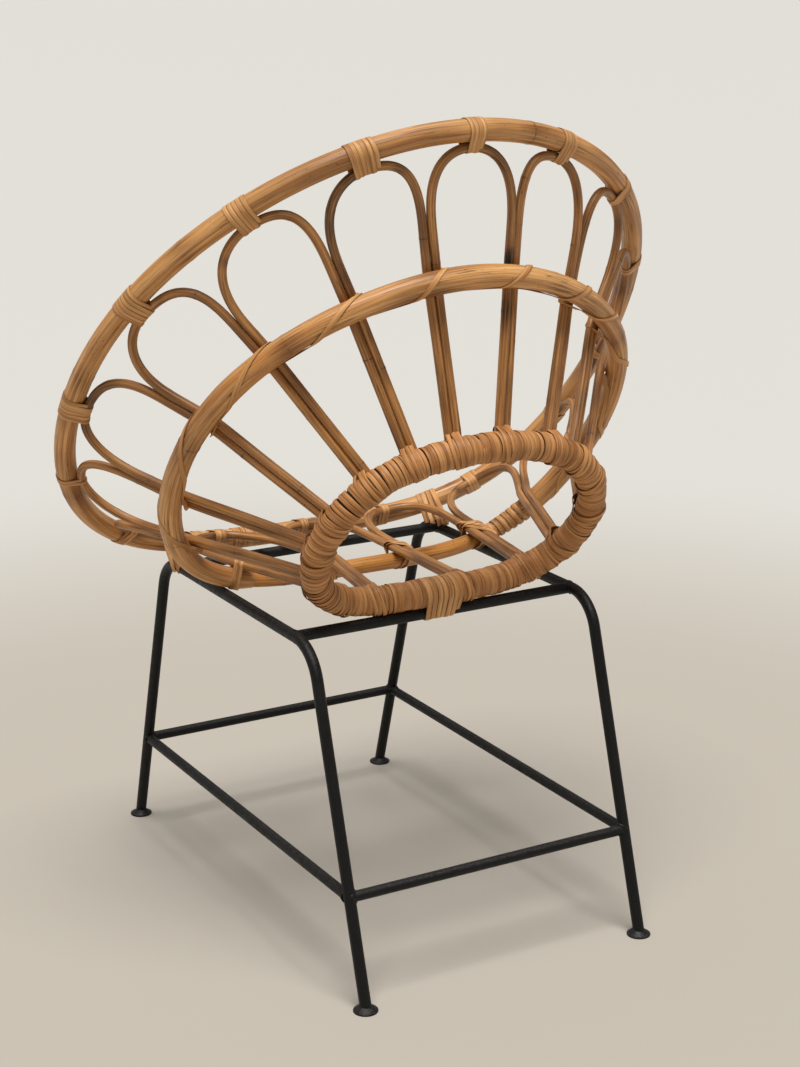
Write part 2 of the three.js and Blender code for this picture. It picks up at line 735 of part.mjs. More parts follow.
// Ties of the rim to the front corners of the iron stand
for (const [side, sign] of [["left", 1], ["right", -1]]) {
  const { share, point, rodPoint, rodWay } = contact(rim, sign * cornerFromShare, sign, rods[side]);
  const way = tangentAt(rim, share);
  if (way.dot(rodWay) < 0) way.negate();
  const poles = [{ point: rodPoint, way: rodWay, radius: rodRadius }, { point, way, radius: rimRadius }];
  const right = point.clone().sub(rodPoint).normalize();
  addPiece(`corner_tie_${side}`, crossTie(rodPoint, right, poles, cornerTieWidth), "binding");
}

// Tie of the ring to the rear rail
addPiece("rail_tie", winding({
  frame: poleFrame(ring, 1, () => UP.clone().negate()),
  discs: [{ x: 0, y: 0, r: ringRadius }, { x: ringHeight - railHeight, y: 0, r: rodRadius }],
  turns: railTieTurns,
  pitch,
  turnSpace: turnGap,
  thickness: stripThickness,
  clearance: looseGap,
}), "binding");

// Winding of the scarf joint of the arch and the seat bow
addPiece("lap_winding", winding({
  frame: poleFrame(hoop, -(archRightEndShare + bowRightEndShare) / 2, () => UP),
  discs: [{ x: 0, y: 0, r: archRadius }],
  turns: scarfTurns,
  pitch,
  turnSpace: turnGap,
  thickness: stripThickness,
}), "binding");

// Cane covering of the ring
const ringLength = 2 * halfLength(ring);
const ringPitch = (ringLength * ringWindingSpanShare) / (2 * ringWindingTurns + 2);
for (const [name, share] of [["left", 0.5], ["right", -0.5]]) {
  addPiece(`ring_winding_${name}`, winding({
    frame: evenFrame(ring, share),
    discs: [{ x: 0, y: 0, r: ringCoreRadius }],
    turns: ringWindingTurns,
    pitch: ringPitch,
    turnSpace: ringTurnGap,
    thickness: ringStripThickness,
    clearance: looseGap,
  }), "binding");
}

// Frame by true arc length along a closed pole, with right away from the pole's middle
function evenFrame(curve, share) {
  const middle = curve(0).add(curve(1)).multiplyScalar(0.5);
  const table = [];
  let length = 0;
  for (let i = 0; i <= samples; i += 1) {
    const at = share - 1 + (2 * i) / samples;
    const p = curve(at);
    if (i) length += p.distanceTo(table[i - 1].p);
    table.push({ at, p, length });
  }
  const home = table[samples / 2].length;
  return (s) => {
    const target = home + s;
    let i = table.findIndex((row) => row.length >= target);
    if (i < 1) i = i === 0 ? 1 : samples;
    const a = table[i - 1];
    const b = table[i];
    const at = a.at + ((b.at - a.at) * (target - a.length)) / (b.length - a.length);
    const way = tangentAt(curve, at);
    const right = square(curve(at).sub(middle), way);
    return { origin: curve(at), right, up: way.clone().cross(right) };
  };
}

console.log(`least gap between turns of cane: ${leastTurnGap.toFixed(2)} mm`);

export default chair;
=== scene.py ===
"""Looks of a rattan petal armchair: a shell of looped canes on a black iron rod stand.

Metres. +Z is up, the sitter faces -Y, +X is the sitter's left, and the floor is Z = 0.
Places round a closed pole are shares of its half turn: 0 is the back centre, 1 the front centre,
positive along the sitter's left and negative along the right.
"""

import logging
import math
from dataclasses import dataclass, field, replace
from enum import Enum, IntEnum
from functools import partial
from typing import Callable, ClassVar, Optional, Sequence, Union

import bpy
import numpy as np
from mathutils import Matrix, Vector


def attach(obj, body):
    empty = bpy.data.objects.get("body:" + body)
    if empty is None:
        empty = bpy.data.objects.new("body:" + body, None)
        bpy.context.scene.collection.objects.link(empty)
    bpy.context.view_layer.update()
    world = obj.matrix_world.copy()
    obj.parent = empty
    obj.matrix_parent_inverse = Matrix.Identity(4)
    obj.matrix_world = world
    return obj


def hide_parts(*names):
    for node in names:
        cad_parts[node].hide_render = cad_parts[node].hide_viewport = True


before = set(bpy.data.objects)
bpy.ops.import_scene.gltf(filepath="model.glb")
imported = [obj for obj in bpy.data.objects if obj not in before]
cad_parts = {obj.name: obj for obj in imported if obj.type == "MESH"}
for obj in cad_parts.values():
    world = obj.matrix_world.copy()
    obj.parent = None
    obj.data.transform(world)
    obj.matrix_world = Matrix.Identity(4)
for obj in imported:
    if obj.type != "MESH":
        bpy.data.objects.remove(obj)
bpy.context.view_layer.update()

LOG = logging.getLogger("petal_armchair")
MM = 0.001
X_WAY, Y_WAY, UP = np.eye(3)
BODY = "root"
# Vertices nearer than this are one
WELD_DISTANCE = 1e-6
SMOOTH_ANGLE = math.radians(50)
# A direction that rises more than this, as a sine, counts as upright
STEEP = 0.9
# Start of the straightened stems, away from the noise's origin
GRAIN_START = 3.0
# The grain of each stem and strip starts a whole number of metres further on, from 1 to this
STEM_OFFSETS = 40
STRIP_OFFSETS = 60
# Half the stretch of a closed pole over which its direction is measured, as a share
WAY_STEP = 1 / 400
# Places at which the arch's and the bow's scarf is cut
SCARF_SAMPLES = 240
# Directions in which a strap's outline is sought
HULL_ANGLES = 720
# Points round a strap
STRAP_POINTS = 56
# Share of a turn in which a winding's end goes under, and how deep, in thicknesses of the cane
TUCK_PART = 0.2
TUCK_DEPTH = 2.0


class Side(Enum):
    """The sitter's left or right, as the sign of X."""

    LEFT = 1
    RIGHT = -1

    @property
    def word(self) -> str:
        """Name of the side in node and piece names."""
        return self.name.lower()


class Slot(Enum):
    """Material slots of the record."""

    IRON = "iron"
    POLE = "pole"
    PETAL = "petal"
    BINDING = "binding"


class Seed(IntEnum):
    """Starts of the random draws, so that every run gives the same chair."""

    WELDS = 5
    POLES = 11
    PETALS = 100
    TIPS = 300
    TIES = 500
    LASHING = 510
    CORNERS = 700
    JOINT_SIDE = 725
    JOINT_FRONT = 737
    LAP = 740
    RAIL = 760
    RING = 780
    LOOPS = 800


# Step of the seed from one petal or loop to the next
SEED_STEP = 20


def draws(seed: Seed, number: int = 0, right: bool = False) -> np.random.Generator:
    """Random draws of a piece, by its number and its side."""
    return np.random.default_rng(seed + SEED_STEP * number + right)


# Vectors


def unit(v: np.ndarray) -> np.ndarray:
    """Vectors at length 1."""
    return v / np.linalg.norm(v, axis=-1, keepdims=True)


def square(v: np.ndarray, way: np.ndarray) -> np.ndarray:
    """Part of v square to the unit vectors way, at length 1."""
    return unit(v - (v * way).sum(-1, keepdims=True) * way)


def smoothstep(value: np.ndarray) -> np.ndarray:
    """Smooth step from 0 to 1."""
    s = np.clip(value, 0.0, 1.0)
    return s * s * (3.0 - 2.0 * s)


def run_lengths(points: np.ndarray) -> np.ndarray:
    """Length along a line up to each of its points."""
    steps = np.linalg.norm(np.diff(points, axis=0), axis=1)
    return np.concatenate([[0.0], np.cumsum(steps)])


def columns(at: np.ndarray, known: np.ndarray, values: np.ndarray, **options: float) -> np.ndarray:
    """Values known at some places, interpolated column by column."""
    return np.stack([np.interp(at, known, column, **options) for column in values.T], -1)


def resample(points: np.ndarray, at: np.ndarray) -> np.ndarray:
    """Points of a line at the lengths in at."""
    return columns(at, run_lengths(points), points)


def evenly(points: np.ndarray, step: float) -> np.ndarray:
    """The line's points at even steps of about the length step."""
    total = run_lengths(points)[-1]
    return resample(points, np.linspace(0.0, total, max(3, round(total / step) + 1)))


def spline(points: Sequence[np.ndarray], per_span: int) -> np.ndarray:
    """Centripetal Catmull-Rom curve through points.

    Args:
        points: Places that the curve goes through.
        per_span: Points made from each place to the next.

    Returns:
        The curve's points.
    """
    p = [np.asarray(v, float) for v in points]
    p = [2 * p[0] - p[1], *p, 2 * p[-1] - p[-2]]
    made = []
    for a, b, c, d in zip(p, p[1:], p[2:], p[3:]):
        spans = [math.sqrt(np.linalg.norm(v - u)) for u, v in ((a, b), (b, c), (c, d))]
        t = np.concatenate([[0.0], np.cumsum(spans)])
        x = np.linspace(t[1], t[2], per_span, endpoint=False)[:, None]
        ab = ((t[1] - x) * a + (x - t[0]) * b) / (t[1] - t[0])
        bc = ((t[2] - x) * b + (x - t[1]) * c) / (t[2] - t[1])
        cd = ((t[3] - x) * c + (x - t[2]) * d) / (t[3] - t[2])
        abc = ((t[2] - x) * ab + (x - t[0]) * bc) / (t[2] - t[0])
        bcd = ((t[3] - x) * bc + (x - t[1]) * cd) / (t[3] - t[1])
        made.append(((t[2] - x) * abc + (x - t[1]) * bcd) / (t[2] - t[1]))
    return np.concatenate([*made, p[-2][None]])


@dataclass(frozen=True)
class Track:
    """A pole's centre line with a frame at each point."""

    points: np.ndarray
    ways: np.ndarray
    rights: np.ndarray
    lengths: np.ndarray

    @classmethod
    def along(cls, points: np.ndarray, towards: np.ndarray) -> "Track":
        """Track whose right side faces the directions in towards."""
        ways = unit(np.gradient(points, axis=0))
        rights = square(np.broadcast_to(towards, points.shape), ways)
        return cls(points, ways, rights, run_lengths(points))

    def at(self, s: np.ndarray) -> tuple[np.ndarray, np.ndarray, np.ndarray]:
        """Frames at lengths along the track.

        Args:
            s: Lengths from the track's start.

        Returns:
            Origins, right directions and up directions.
        """
        known = (self.points, self.ways, self.rights)
        origin, way, right = (columns(s, self.lengths, values) for values in known)
        way = unit(way)
        right = square(right, way)
        return origin, right, np.cross(way, right)


# Meshes


def deselect() -> None:
    """Leaves no object selected."""
    if bpy.context.object and bpy.context.object.mode != "OBJECT":
        bpy.ops.object.mode_set(mode="OBJECT")
    bpy.ops.object.select_all(action="DESELECT")


def settle(piece: bpy.types.Object, name: str) -> bpy.types.Object:
    """Names a piece and puts its place into its mesh.

    Args:
        piece: The piece.
        name: Its name.

    Returns:
        The piece.
    """
    deselect()
    piece.select_set(True)
    bpy.context.view_layer.objects.active = piece
    bpy.ops.object.transform_apply(location=True, rotation=True, scale=True)
    bpy.ops.object.shade_smooth_by_angle(angle=SMOOTH_ANGLE)
    piece.name = name
    piece.data.name = name
    return piece


def roll_up(name: str, rings: np.ndarray, marks: dict[str, np.ndarray],
            closed: bool = False) -> bpy.types.Object:
    """Rolls a grid round a route: each row of the grid becomes one ring of the piece.

    Args:
        name: Name of the piece.
        rings: Places of the rings' points, by ring and by point.
        marks: Values kept on the points for the materials, one number or three each.
        closed: True where the last ring is joined to the first.

    Returns:
        The piece, with closed ends.
    """
    if closed:
        rings = np.concatenate([rings, rings[:1]])
        marks = {key: np.concatenate([m, m[:1]]) for key, m in marks.items()}
    count, sides = rings.shape[:2]
    deselect()
    bpy.ops.mesh.primitive_grid_add(x_subdivisions=count - 1, y_subdivisions=sides)
    piece = bpy.context.object
    mesh = piece.data
    places = np.concatenate([rings, rings[:, :1]], axis=1).swapaxes(0, 1)
    mesh.vertices.foreach_set("co", places.ravel())
    for key, values in marks.items():
        values = np.concatenate([values, values[:, :1]], axis=1).swapaxes(0, 1)
        kind, field_name = ("FLOAT_VECTOR", "vector") if values.ndim == 3 else ("FLOAT", "value")
        layer = mesh.attributes.new(key, kind, "POINT")
        layer.data.foreach_set(field_name, values.astype(np.float32).ravel())
    mesh.update()
    bpy.ops.object.mode_set(mode="EDIT")
    bpy.ops.mesh.select_all(action="SELECT")
    bpy.ops.mesh.remove_doubles(threshold=WELD_DISTANCE)
    if not closed:
        bpy.ops.mesh.fill_holes(sides=0)
    bpy.ops.mesh.select_all(action="SELECT")
    bpy.ops.mesh.normals_make_consistent(inside=False)
    bpy.ops.object.mode_set(mode="OBJECT")
    return settle(piece, name)


def join(name: str, pieces: Sequence[bpy.types.Object]) -> bpy.types.Object:
    """Joins pieces to one.

    Args:
        name: Name of the whole.
        pieces: The pieces.

    Returns:
        The whole.
    """
    deselect()
    for piece in pieces:
        piece.select_set(True)
    bpy.context.view_layer.objects.active = pieces[0]
    if len(pieces) > 1:
        bpy.ops.object.join()
    return settle(pieces[0], name)


def carried(points: np.ndarray, closed: bool) -> tuple[np.ndarray, np.ndarray, np.ndarray]:
    """Frames carried along a line without twist.

    Args:
        points: The line.
        closed: True where the line comes round to its start.

    Returns:
        Ways, sides and ups; on a closed line the ups meet again.
    """
    if closed:
        wrapped = np.concatenate([points[-1:], points, points[:1]])
        ways = unit(wrapped[2:] - wrapped[:-2])
    else:
        ways = unit(np.gradient(points, axis=0))
    ups = [square(UP if abs(ways[0, 2]) < STEEP else X_WAY, ways[0])]
    for way in ways[1:]:
        ups.append(square(ups[-1], way))
    ups = np.array(ups)
    sides = np.cross(ways, ups)
    if closed:
        home = square(ups[-1], ways[0])
        twist = math.atan2(ups[0] @ np.cross(ways[0], home), ups[0] @ home)
        turn = np.linspace(0.0, twist, len(points))[:, None]
        ups, sides = ups * np.cos(turn) + sides * np.sin(turn), sides * np.cos(turn) - ups * np.sin(turn)
    return ways, sides, ups


def spokes(points: np.ndarray, closed: bool, count: int) -> tuple[np.ndarray, np.ndarray]:
    """Directions out from a line, all round each of its points.

    Args:
        points: The line.
        closed: True where the line comes round to its start.
        count: Number of directions at each point.

    Returns:
        Angles of the directions, and the directions by point and by angle.
    """
    _, sides, ups = carried(points, closed)
    angle = 2.0 * np.pi * np.arange(count) / count
    return angle, ups[:, None] * np.cos(angle)[:, None] + sides[:, None] * np.sin(angle)[:, None]


def bell(s: np.ndarray, middle: float, half: float) -> np.ndarray:
    """Bell curve of height 1 about a place, with this half length."""
    return np.exp(-(((s - middle) / half) ** 2))


@dataclass(frozen=True)
class RoundCane:
    """A round rattan pole or cane along a line."""

    radius: float
    sides: int
    step: float
    # Distance between the stem's nodes, where the first may lie as shares of it, and the height
    # and half length of the ridge at each
    node_spacing: float
    first_node: tuple[float, float] = (0.2, 0.8)
    node_ridge: float = 0.35 * MM
    node_half: float = 2.2 * MM
    # Slow swells of the stem, as a share of its radius
    swell: float = 0.02
    swell_length: float = 90 * MM

    def build(
        self,
        name: str,
        points: np.ndarray,
        rng: np.random.Generator,
        closed: bool = False,
        girth: Optional[Callable[[np.ndarray], np.ndarray]] = None,
        burns: Sequence[tuple[float, float, float]] = (),
        shave: Optional[Callable[[np.ndarray, np.ndarray], np.ndarray]] = None,
    ) -> bpy.types.Object:
        """Makes the cane.

        Args:
            name: Name of the piece.
            points: Its centre line.
            rng: Source of the stem's swells and of where its nodes lie.
            closed: True for an endless pole.
            girth: Share of the radius by share of the length.
            burns: Scorched places as (length from the start, half length, strength).
            shave: Moves the rings' points on to cut faces, given them and their centres.

        Returns:
            The piece.
        """
        points = evenly(np.concatenate([points, points[:1]]) if closed else points, self.step)
        points = points[:-1] if closed else points
        s = run_lengths(points)
        total = s[-1]
        radii = np.full(len(points), self.radius)
        knots = np.arange(0.0, total + self.swell_length, self.swell_length)
        swells = rng.uniform(-self.swell, self.swell, len(knots))
        swells[-1] = swells[0]
        radii *= 1.0 + np.interp(s, knots * total / knots[-1], swells)
        spacing = self.node_spacing
        first_node = rng.uniform(*self.first_node) * spacing
        for node in np.arange(first_node, total, spacing):
            radii += self.node_ridge * bell(s, node, self.node_half)
        if girth:
            radii *= girth(s / total)
        angle, outward = spokes(points, closed, self.sides)
        rings = points[:, None] + outward * radii[:, None, None]
        if shave:
            rings = shave(rings, points)
        # The stem straightened out, so that the fibres run along it
        grain = np.zeros(rings.shape)
        grain[..., 0] = (s + GRAIN_START + rng.integers(1, STEM_OFFSETS))[:, None]
        grain[..., 1] = self.radius * np.cos(angle)
        grain[..., 2] = self.radius * np.sin(angle)
        burn = np.zeros(len(points))
        for place, half, strength in burns:
            burn = np.maximum(burn, strength * bell(s, place, half))
        node = np.abs((s - first_node + spacing / 2) % spacing - spacing / 2)
        marks = {
            "grain": grain,
            "burn": np.repeat(burn[:, None], self.sides, axis=1),
            "node": np.repeat(node[:, None], self.sides, axis=1),
        }
        return roll_up(name, rings, marks, closed)


# Half the section of a flat cane, from the back to the crown: shares of its width and thickness
HALF_SECTION = ((0.47, 0.0), (0.5, 0.5), (0.42, 0.88), (0.17, 1.0))


@dataclass(frozen=True)
class Strip:
    """Flat split cane: flat at the back, crowned on its skin side."""

    width: float
    thickness: float

    @property
    def section(self) -> np.ndarray:
        """Outline of the strip: across the width, and out from its back."""
        shares = [*HALF_SECTION, *[(-a, b) for a, b in HALF_SECTION[::-1]]]
        return np.array(shares) * [self.width, self.thickness]


@dataclass(frozen=True)
class Oval:
    """Section of a pole in the plane of a strap: middle and half axes."""

    middle: np.ndarray
    first: np.ndarray
    second: np.ndarray
    # A pole that leans less than this, as a sine, is square to the plane
    SQUARE: ClassVar[float] = 1e-6

    @classmethod
    def disc(cls, x: float, y: float, radius: float) -> "Oval":
        """Section of a pole square to the plane."""
        return cls(np.array([x, y]), np.array([radius, 0.0]), np.array([0.0, radius]))

    @classmethod
    def cut(cls, point: np.ndarray, way: np.ndarray, radius: float, plane: "Plane") -> "Oval":
        """Section of a pole that crosses a plane at a slant.

        Args:
            point: A place on the pole's middle line.
            way: Its direction.
            radius: Its radius.
            plane: The plane.

        Returns:
            The section.
        """
        lean = way @ plane.across
        middle = point - way * ((point - plane.origin) @ plane.across) / lean
        flat = np.array([way @ plane.right, way @ plane.up])
        size = np.linalg.norm(flat)
        along = flat / size if size > cls.SQUARE else np.array([1.0, 0.0])
        second = np.array([-along[1], along[0]])
        return cls(plane.flat(middle), along * radius / abs(lean), second * radius)


@dataclass(frozen=True)
class Plane:
    """Plane of a strap: across is its normal, and the way of the strap's width."""

    origin: np.ndarray
    right: np.ndarray
    across: np.ndarray

    @property
    def up(self) -> np.ndarray:
        """The plane's second direction."""
        return np.cross(self.across, self.right)

    def moved(self, distance: float) -> "Plane":
        """The same plane, further along the strap's width."""
        return Plane(self.origin + self.across * distance, self.right, self.across)

    def flat(self, point: np.ndarray) -> np.ndarray:
        """A point's place in the plane."""
        away = point - self.origin
        return np.array([away @ self.right, away @ self.up])


def pulled_round(ovals: Sequence[Oval], clearance: float, count: int,
                 by_turn: bool = False) -> tuple[np.ndarray, np.ndarray]:
    """Line of a cane pulled tight round ovals.

    Args:
        ovals: What it goes round.
        clearance: Distance kept from them.
        count: Number of points.
        by_turn: True to space the points by their angle about the plane's origin, not by length.

    Returns:
        Points and outward normals.
    """
    angle = np.linspace(0.0, 2.0 * np.pi, HULL_ANGLES, endpoint=False)
    normals = np.stack([np.cos(angle), np.sin(angle)], -1)
    reaches, edges = [], []
    for oval in ovals:
        a = normals @ oval.first
        b = normals @ oval.second
        size = np.sqrt(a * a + b * b)
        reaches.append(normals @ oval.middle + size)
        edges.append(oval.middle + (a[:, None] * oval.first + b[:, None] * oval.second) / size[:, None])
    furthest = np.argmax(reaches, axis=0)
    points = np.array(edges)[furthest, np.arange(HULL_ANGLES)] + normals * clearance
    if by_turn:
        turns = np.arctan2(points[:, 1], points[:, 0])
        at = np.linspace(0.0, 2.0 * np.pi, count, endpoint=False)
        spots, ways = (columns(at, turns, v, period=2.0 * np.pi) for v in (points, normals))
    else:
        loop, turned = (np.concatenate([v, v[:1]]) for v in (points, normals))
        lengths = run_lengths(loop)
        at = np.linspace(0.0, lengths[-1], count, endpoint=False)
        spots, ways = (columns(at, lengths, v) for v in (loop, turned))
    return spots, unit(ways)


def strip_marks(points: np.ndarray, strip: Strip, rng: np.random.Generator) -> dict[str, np.ndarray]:
    """Marks of a strip for its material: its grain, and how near its edges a point is.

    Args:
        points: The line that it follows.
        strip: The strip.
        rng: Source of its grain's start.

    Returns:
        The marks by name.
    """
    section = strip.section
    grain = np.zeros((len(points), len(section), 3))
    grain[..., 0] = (run_lengths(points) + GRAIN_START + rng.integers(1, STRIP_OFFSETS))[:, None]
    grain[..., 1:] = section
    edge = np.abs(section[:, 0]) * 2.0 / strip.width
    return {"grain": grain, "edge": np.repeat(edge[None], len(points), axis=0)}


def strap(name: str, plane: Plane, ovals: Sequence[Oval], strip: Strip, rng: np.random.Generator,
          clearance: float) -> bpy.types.Object:
    """Closed strap of cane round poles, in one plane.

    Args:
        name: Name of the piece.
        plane: The strap's plane.
        ovals: The poles' sections in it.
        strip: The cane.
        rng: Source of its grain's start.
        clearance: Its distance from the poles.

    Returns:
        The piece.
    """
    spots, normals = pulled_round(ovals, clearance, STRAP_POINTS)
    points = plane.origin + spots[:, :1] * plane.right + spots[:, 1:] * plane.up
    outward = normals[:, :1] * plane.right + normals[:, 1:] * plane.up
    section = strip.section
    rings = points[:, None] + plane.across * section[:, :1] + outward[:, None] * section[:, 1:]
    return roll_up(name, rings, strip_marks(points, strip, rng), closed=True)


@dataclass(frozen=True)
class Sleeve:
    """Outlines that a winding follows, at lengths along a pole."""

    stations: np.ndarray
    outlines: np.ndarray

    @classmethod
    def over(cls, stations: Sequence[float], ovals: Sequence[Sequence[Oval]], clearance: float,
             count: int, by_turn: bool = True) -> "Sleeve":
        """Sleeve pulled round the ovals at each station, with this clearance."""
        made = [np.concatenate(pulled_round(shapes, clearance, count, by_turn), axis=1) for shapes in ovals]
        return cls(np.array(stations), np.array(made))

    def at(self, s: np.ndarray, part: np.ndarray) -> np.ndarray:
        """Points and normals at lengths along the pole and shares of the way round it.

        Args:
            s: The lengths.
            part: The shares.

        Returns:
            Two coordinates of each point, and two of its normal.
        """
        count = self.outlines.shape[1]
        m = np.interp(s, self.stations, np.arange(len(self.stations)))
        low = np.floor(m).astype(int)
        high = np.minimum(low + 1, len(self.stations) - 1)
        k = (part % 1.0) * count
        before = np.floor(k).astype(int) % count
        after = (before + 1) % count
        mix_m = (m - low)[:, None]
        mix_k = (k - np.floor(k))[:, None]
        near = self.outlines[low, before] * (1.0 - mix_k) + self.outlines[low, after] * mix_k
        far = self.outlines[high, before] * (1.0 - mix_k) + self.outlines[high, after] * mix_k
        return near * (1.0 - mix_m) + far * mix_m


def lash(name: str, track: Track, s: np.ndarray, part: np.ndarray, sleeve: Sleeve, strip: Strip,
         rng: np.random.Generator, lift: Optional[np.ndarray] = None,
         tilt: Optional[np.ndarray] = None) -> bpy.types.Object:
    """Flat cane led round a pole, with its ends tucked in.

    Args:
        name: Name of the piece.
        track: Centre line of the pole.
        s: Lengths along the track, point by point.
        part: Turns round the pole, point by point.
        sleeve: What the cane lies on.
        strip: The cane.
        rng: Source of the cane's grain.
        lift: Distance from the sleeve, point by point.
        tilt: Slope of the cane's face across its width, point by point.

    Returns:
        The piece.
    """
    origin, right, up = track.at(s)
    shape = sleeve.at(s, part)
    around = np.abs(part - part[0])
    ends = np.minimum(around, around[-1] - around) / TUCK_PART
    raised = -TUCK_DEPTH * strip.thickness * (1.0 - smoothstep(ends))
    if lift is not None:
        raised = raised + lift
    points = origin + shape[:, :1] * right + shape[:, 1:2] * up
    outward = unit(shape[:, 2:3] * right + shape[:, 3:4] * up)
    run = unit(np.gradient(points, axis=0))
    across = unit(np.cross(outward, run))
    outward = np.cross(run, across)
    points = points + outward * raised[:, None]
    section = strip.section
    rise = np.repeat(section[None, :, 1], len(points), axis=0)
    if tilt is not None:
        rise = rise + tilt[:, None] * section[:, 0]
    rings = points[:, None] + across[:, None] * section[:, :1] + outward[:, None] * rise[:, :, None]
    return roll_up(name, rings, strip_marks(points, strip, rng))


@dataclass(frozen=True)
class Wrap:
    """How a cane is wound round a pole."""

    strip: Strip
    # Way along the pole of a turn, and how uneven it is as a share
    pitch: float
    uneven: float = 0.1
    # Most that a turn stands off the pole, and that its face slopes across its width
    looseness: float = 0.0
    lean: float = 0.0
    # Points in a turn
    steps: int = 44

    def pitches(self, turns: int, rng: np.random.Generator) -> np.ndarray:
        """Uneven ways along the pole of a winding's turns."""
        return self.pitch * (1.0 + rng.uniform(-self.uneven, self.uneven, turns))

    def wind(self, name: str, track: Track, start: float, pitches: np.ndarray, sleeve: Sleeve,
             rng: np.random.Generator) -> bpy.types.Object:
        """Winds the cane, turn after turn.

        Args:
            name: Name of the piece.
            track: Centre line of the pole.
            start: Length along the track where the winding starts.
            pitches: Way along the pole of each turn.
            sleeve: What the cane lies on.
            rng: Source of small unevenness.

        Returns:
            The piece.
        """
        turns = len(pitches)
        part = np.arange(turns * self.steps + 1) / self.steps
        knots = np.arange(turns + 1)
        s = start + np.interp(part, knots, np.concatenate([[0.0], np.cumsum(pitches)]))
        lift = np.interp(part, knots, rng.uniform(0.0, self.looseness, turns + 1))
        tilt = np.interp(part, knots, rng.uniform(-self.lean, self.lean, turns + 1))
        return lash(name, track, s, part, sleeve, self.strip, rng, lift, tilt)


# Materials


def linear(hex_colour: str) -> tuple[float, float, float, float]:
    """Linear colour of an sRGB hex value such as "c08a4c"."""
    channels = [channel / 255 for channel in bytes.fromhex(hex_colour)]
    # The sRGB curve: straight near black, a power above it
    return (*[c / 12.92 if c <= 0.04045 else ((c + 0.055) / 1.055) ** 2.4 for c in channels], 1.0)


# Octaves of a noise
SOFT, PLAIN, FINE, COARSE = 1.0, 2.0, 3.0, 4.0
# A noise's usual roughness, and its middle value
EVEN = 0.5
# Setting of a colour mix, its inputs and its output
COLOURS = {"data_type": "RGBA"}
MIX_A, MIX_B, MIX_RESULT = 6, 7, 2
RANGE_INPUTS = ("From Min", "From Max", "To Min", "To Max")

Span = tuple[float, float]
FULL: Span = (0.0, 1.0)


class Tree:
    """Nodes of a material or a world, linked by the names of what they give."""

    def __init__(self, owner: bpy.types.ID) -> None:
        """Starts with no nodes at all.

        Args:
            owner: The material or the world.
        """
        owner.use_nodes = True
        self.tree = owner.node_tree
        self.tree.nodes.clear()
        self.given: dict[str, bpy.types.NodeSocket] = {}
        self.wanted: list[tuple[bpy.types.NodeSocket, str]] = []

    def add(self, name: str, kind: str, settings: Optional[dict] = None, links: Optional[dict] = None,
            out: Union[int, str] = 0) -> None:
        """Adds a node with its settings and links.

        Args:
            name: What the node gives, for links to it.
            kind: Type of the node, without "ShaderNode".
            settings: Values of its properties, or of its inputs by name or number.
            links: What its inputs are linked to, by the input's name or number.
            out: Output that gives what the name says.
        """
        made = self.tree.nodes.new("ShaderNode" + kind)
        for key, value in (settings or {}).items():
            if isinstance(key, str) and hasattr(made, key):
                setattr(made, key, value)
            else:
                made.inputs[key].default_value = value
        if made.outputs:
            self.given[name] = made.outputs[out]
        self.wanted += [(made.inputs[key], source) for key, source in (links or {}).items()]

    def link(self) -> None:
        """Links the nodes, once all are there."""
        for socket, source in self.wanted:
            self.tree.links.new(self.given[source], socket)


@dataclass(frozen=True)
class Finish:
    """A finish that is made into a material once."""

    name: str

    def material(self) -> bpy.types.Material:
        """The finish as a material."""
        return bpy.data.materials.get(self.name) or self.build(bpy.data.materials.new(self.name))

    def build(self, material: bpy.types.Material) -> bpy.types.Material:
        """Makes the material's nodes."""
        raise NotImplementedError


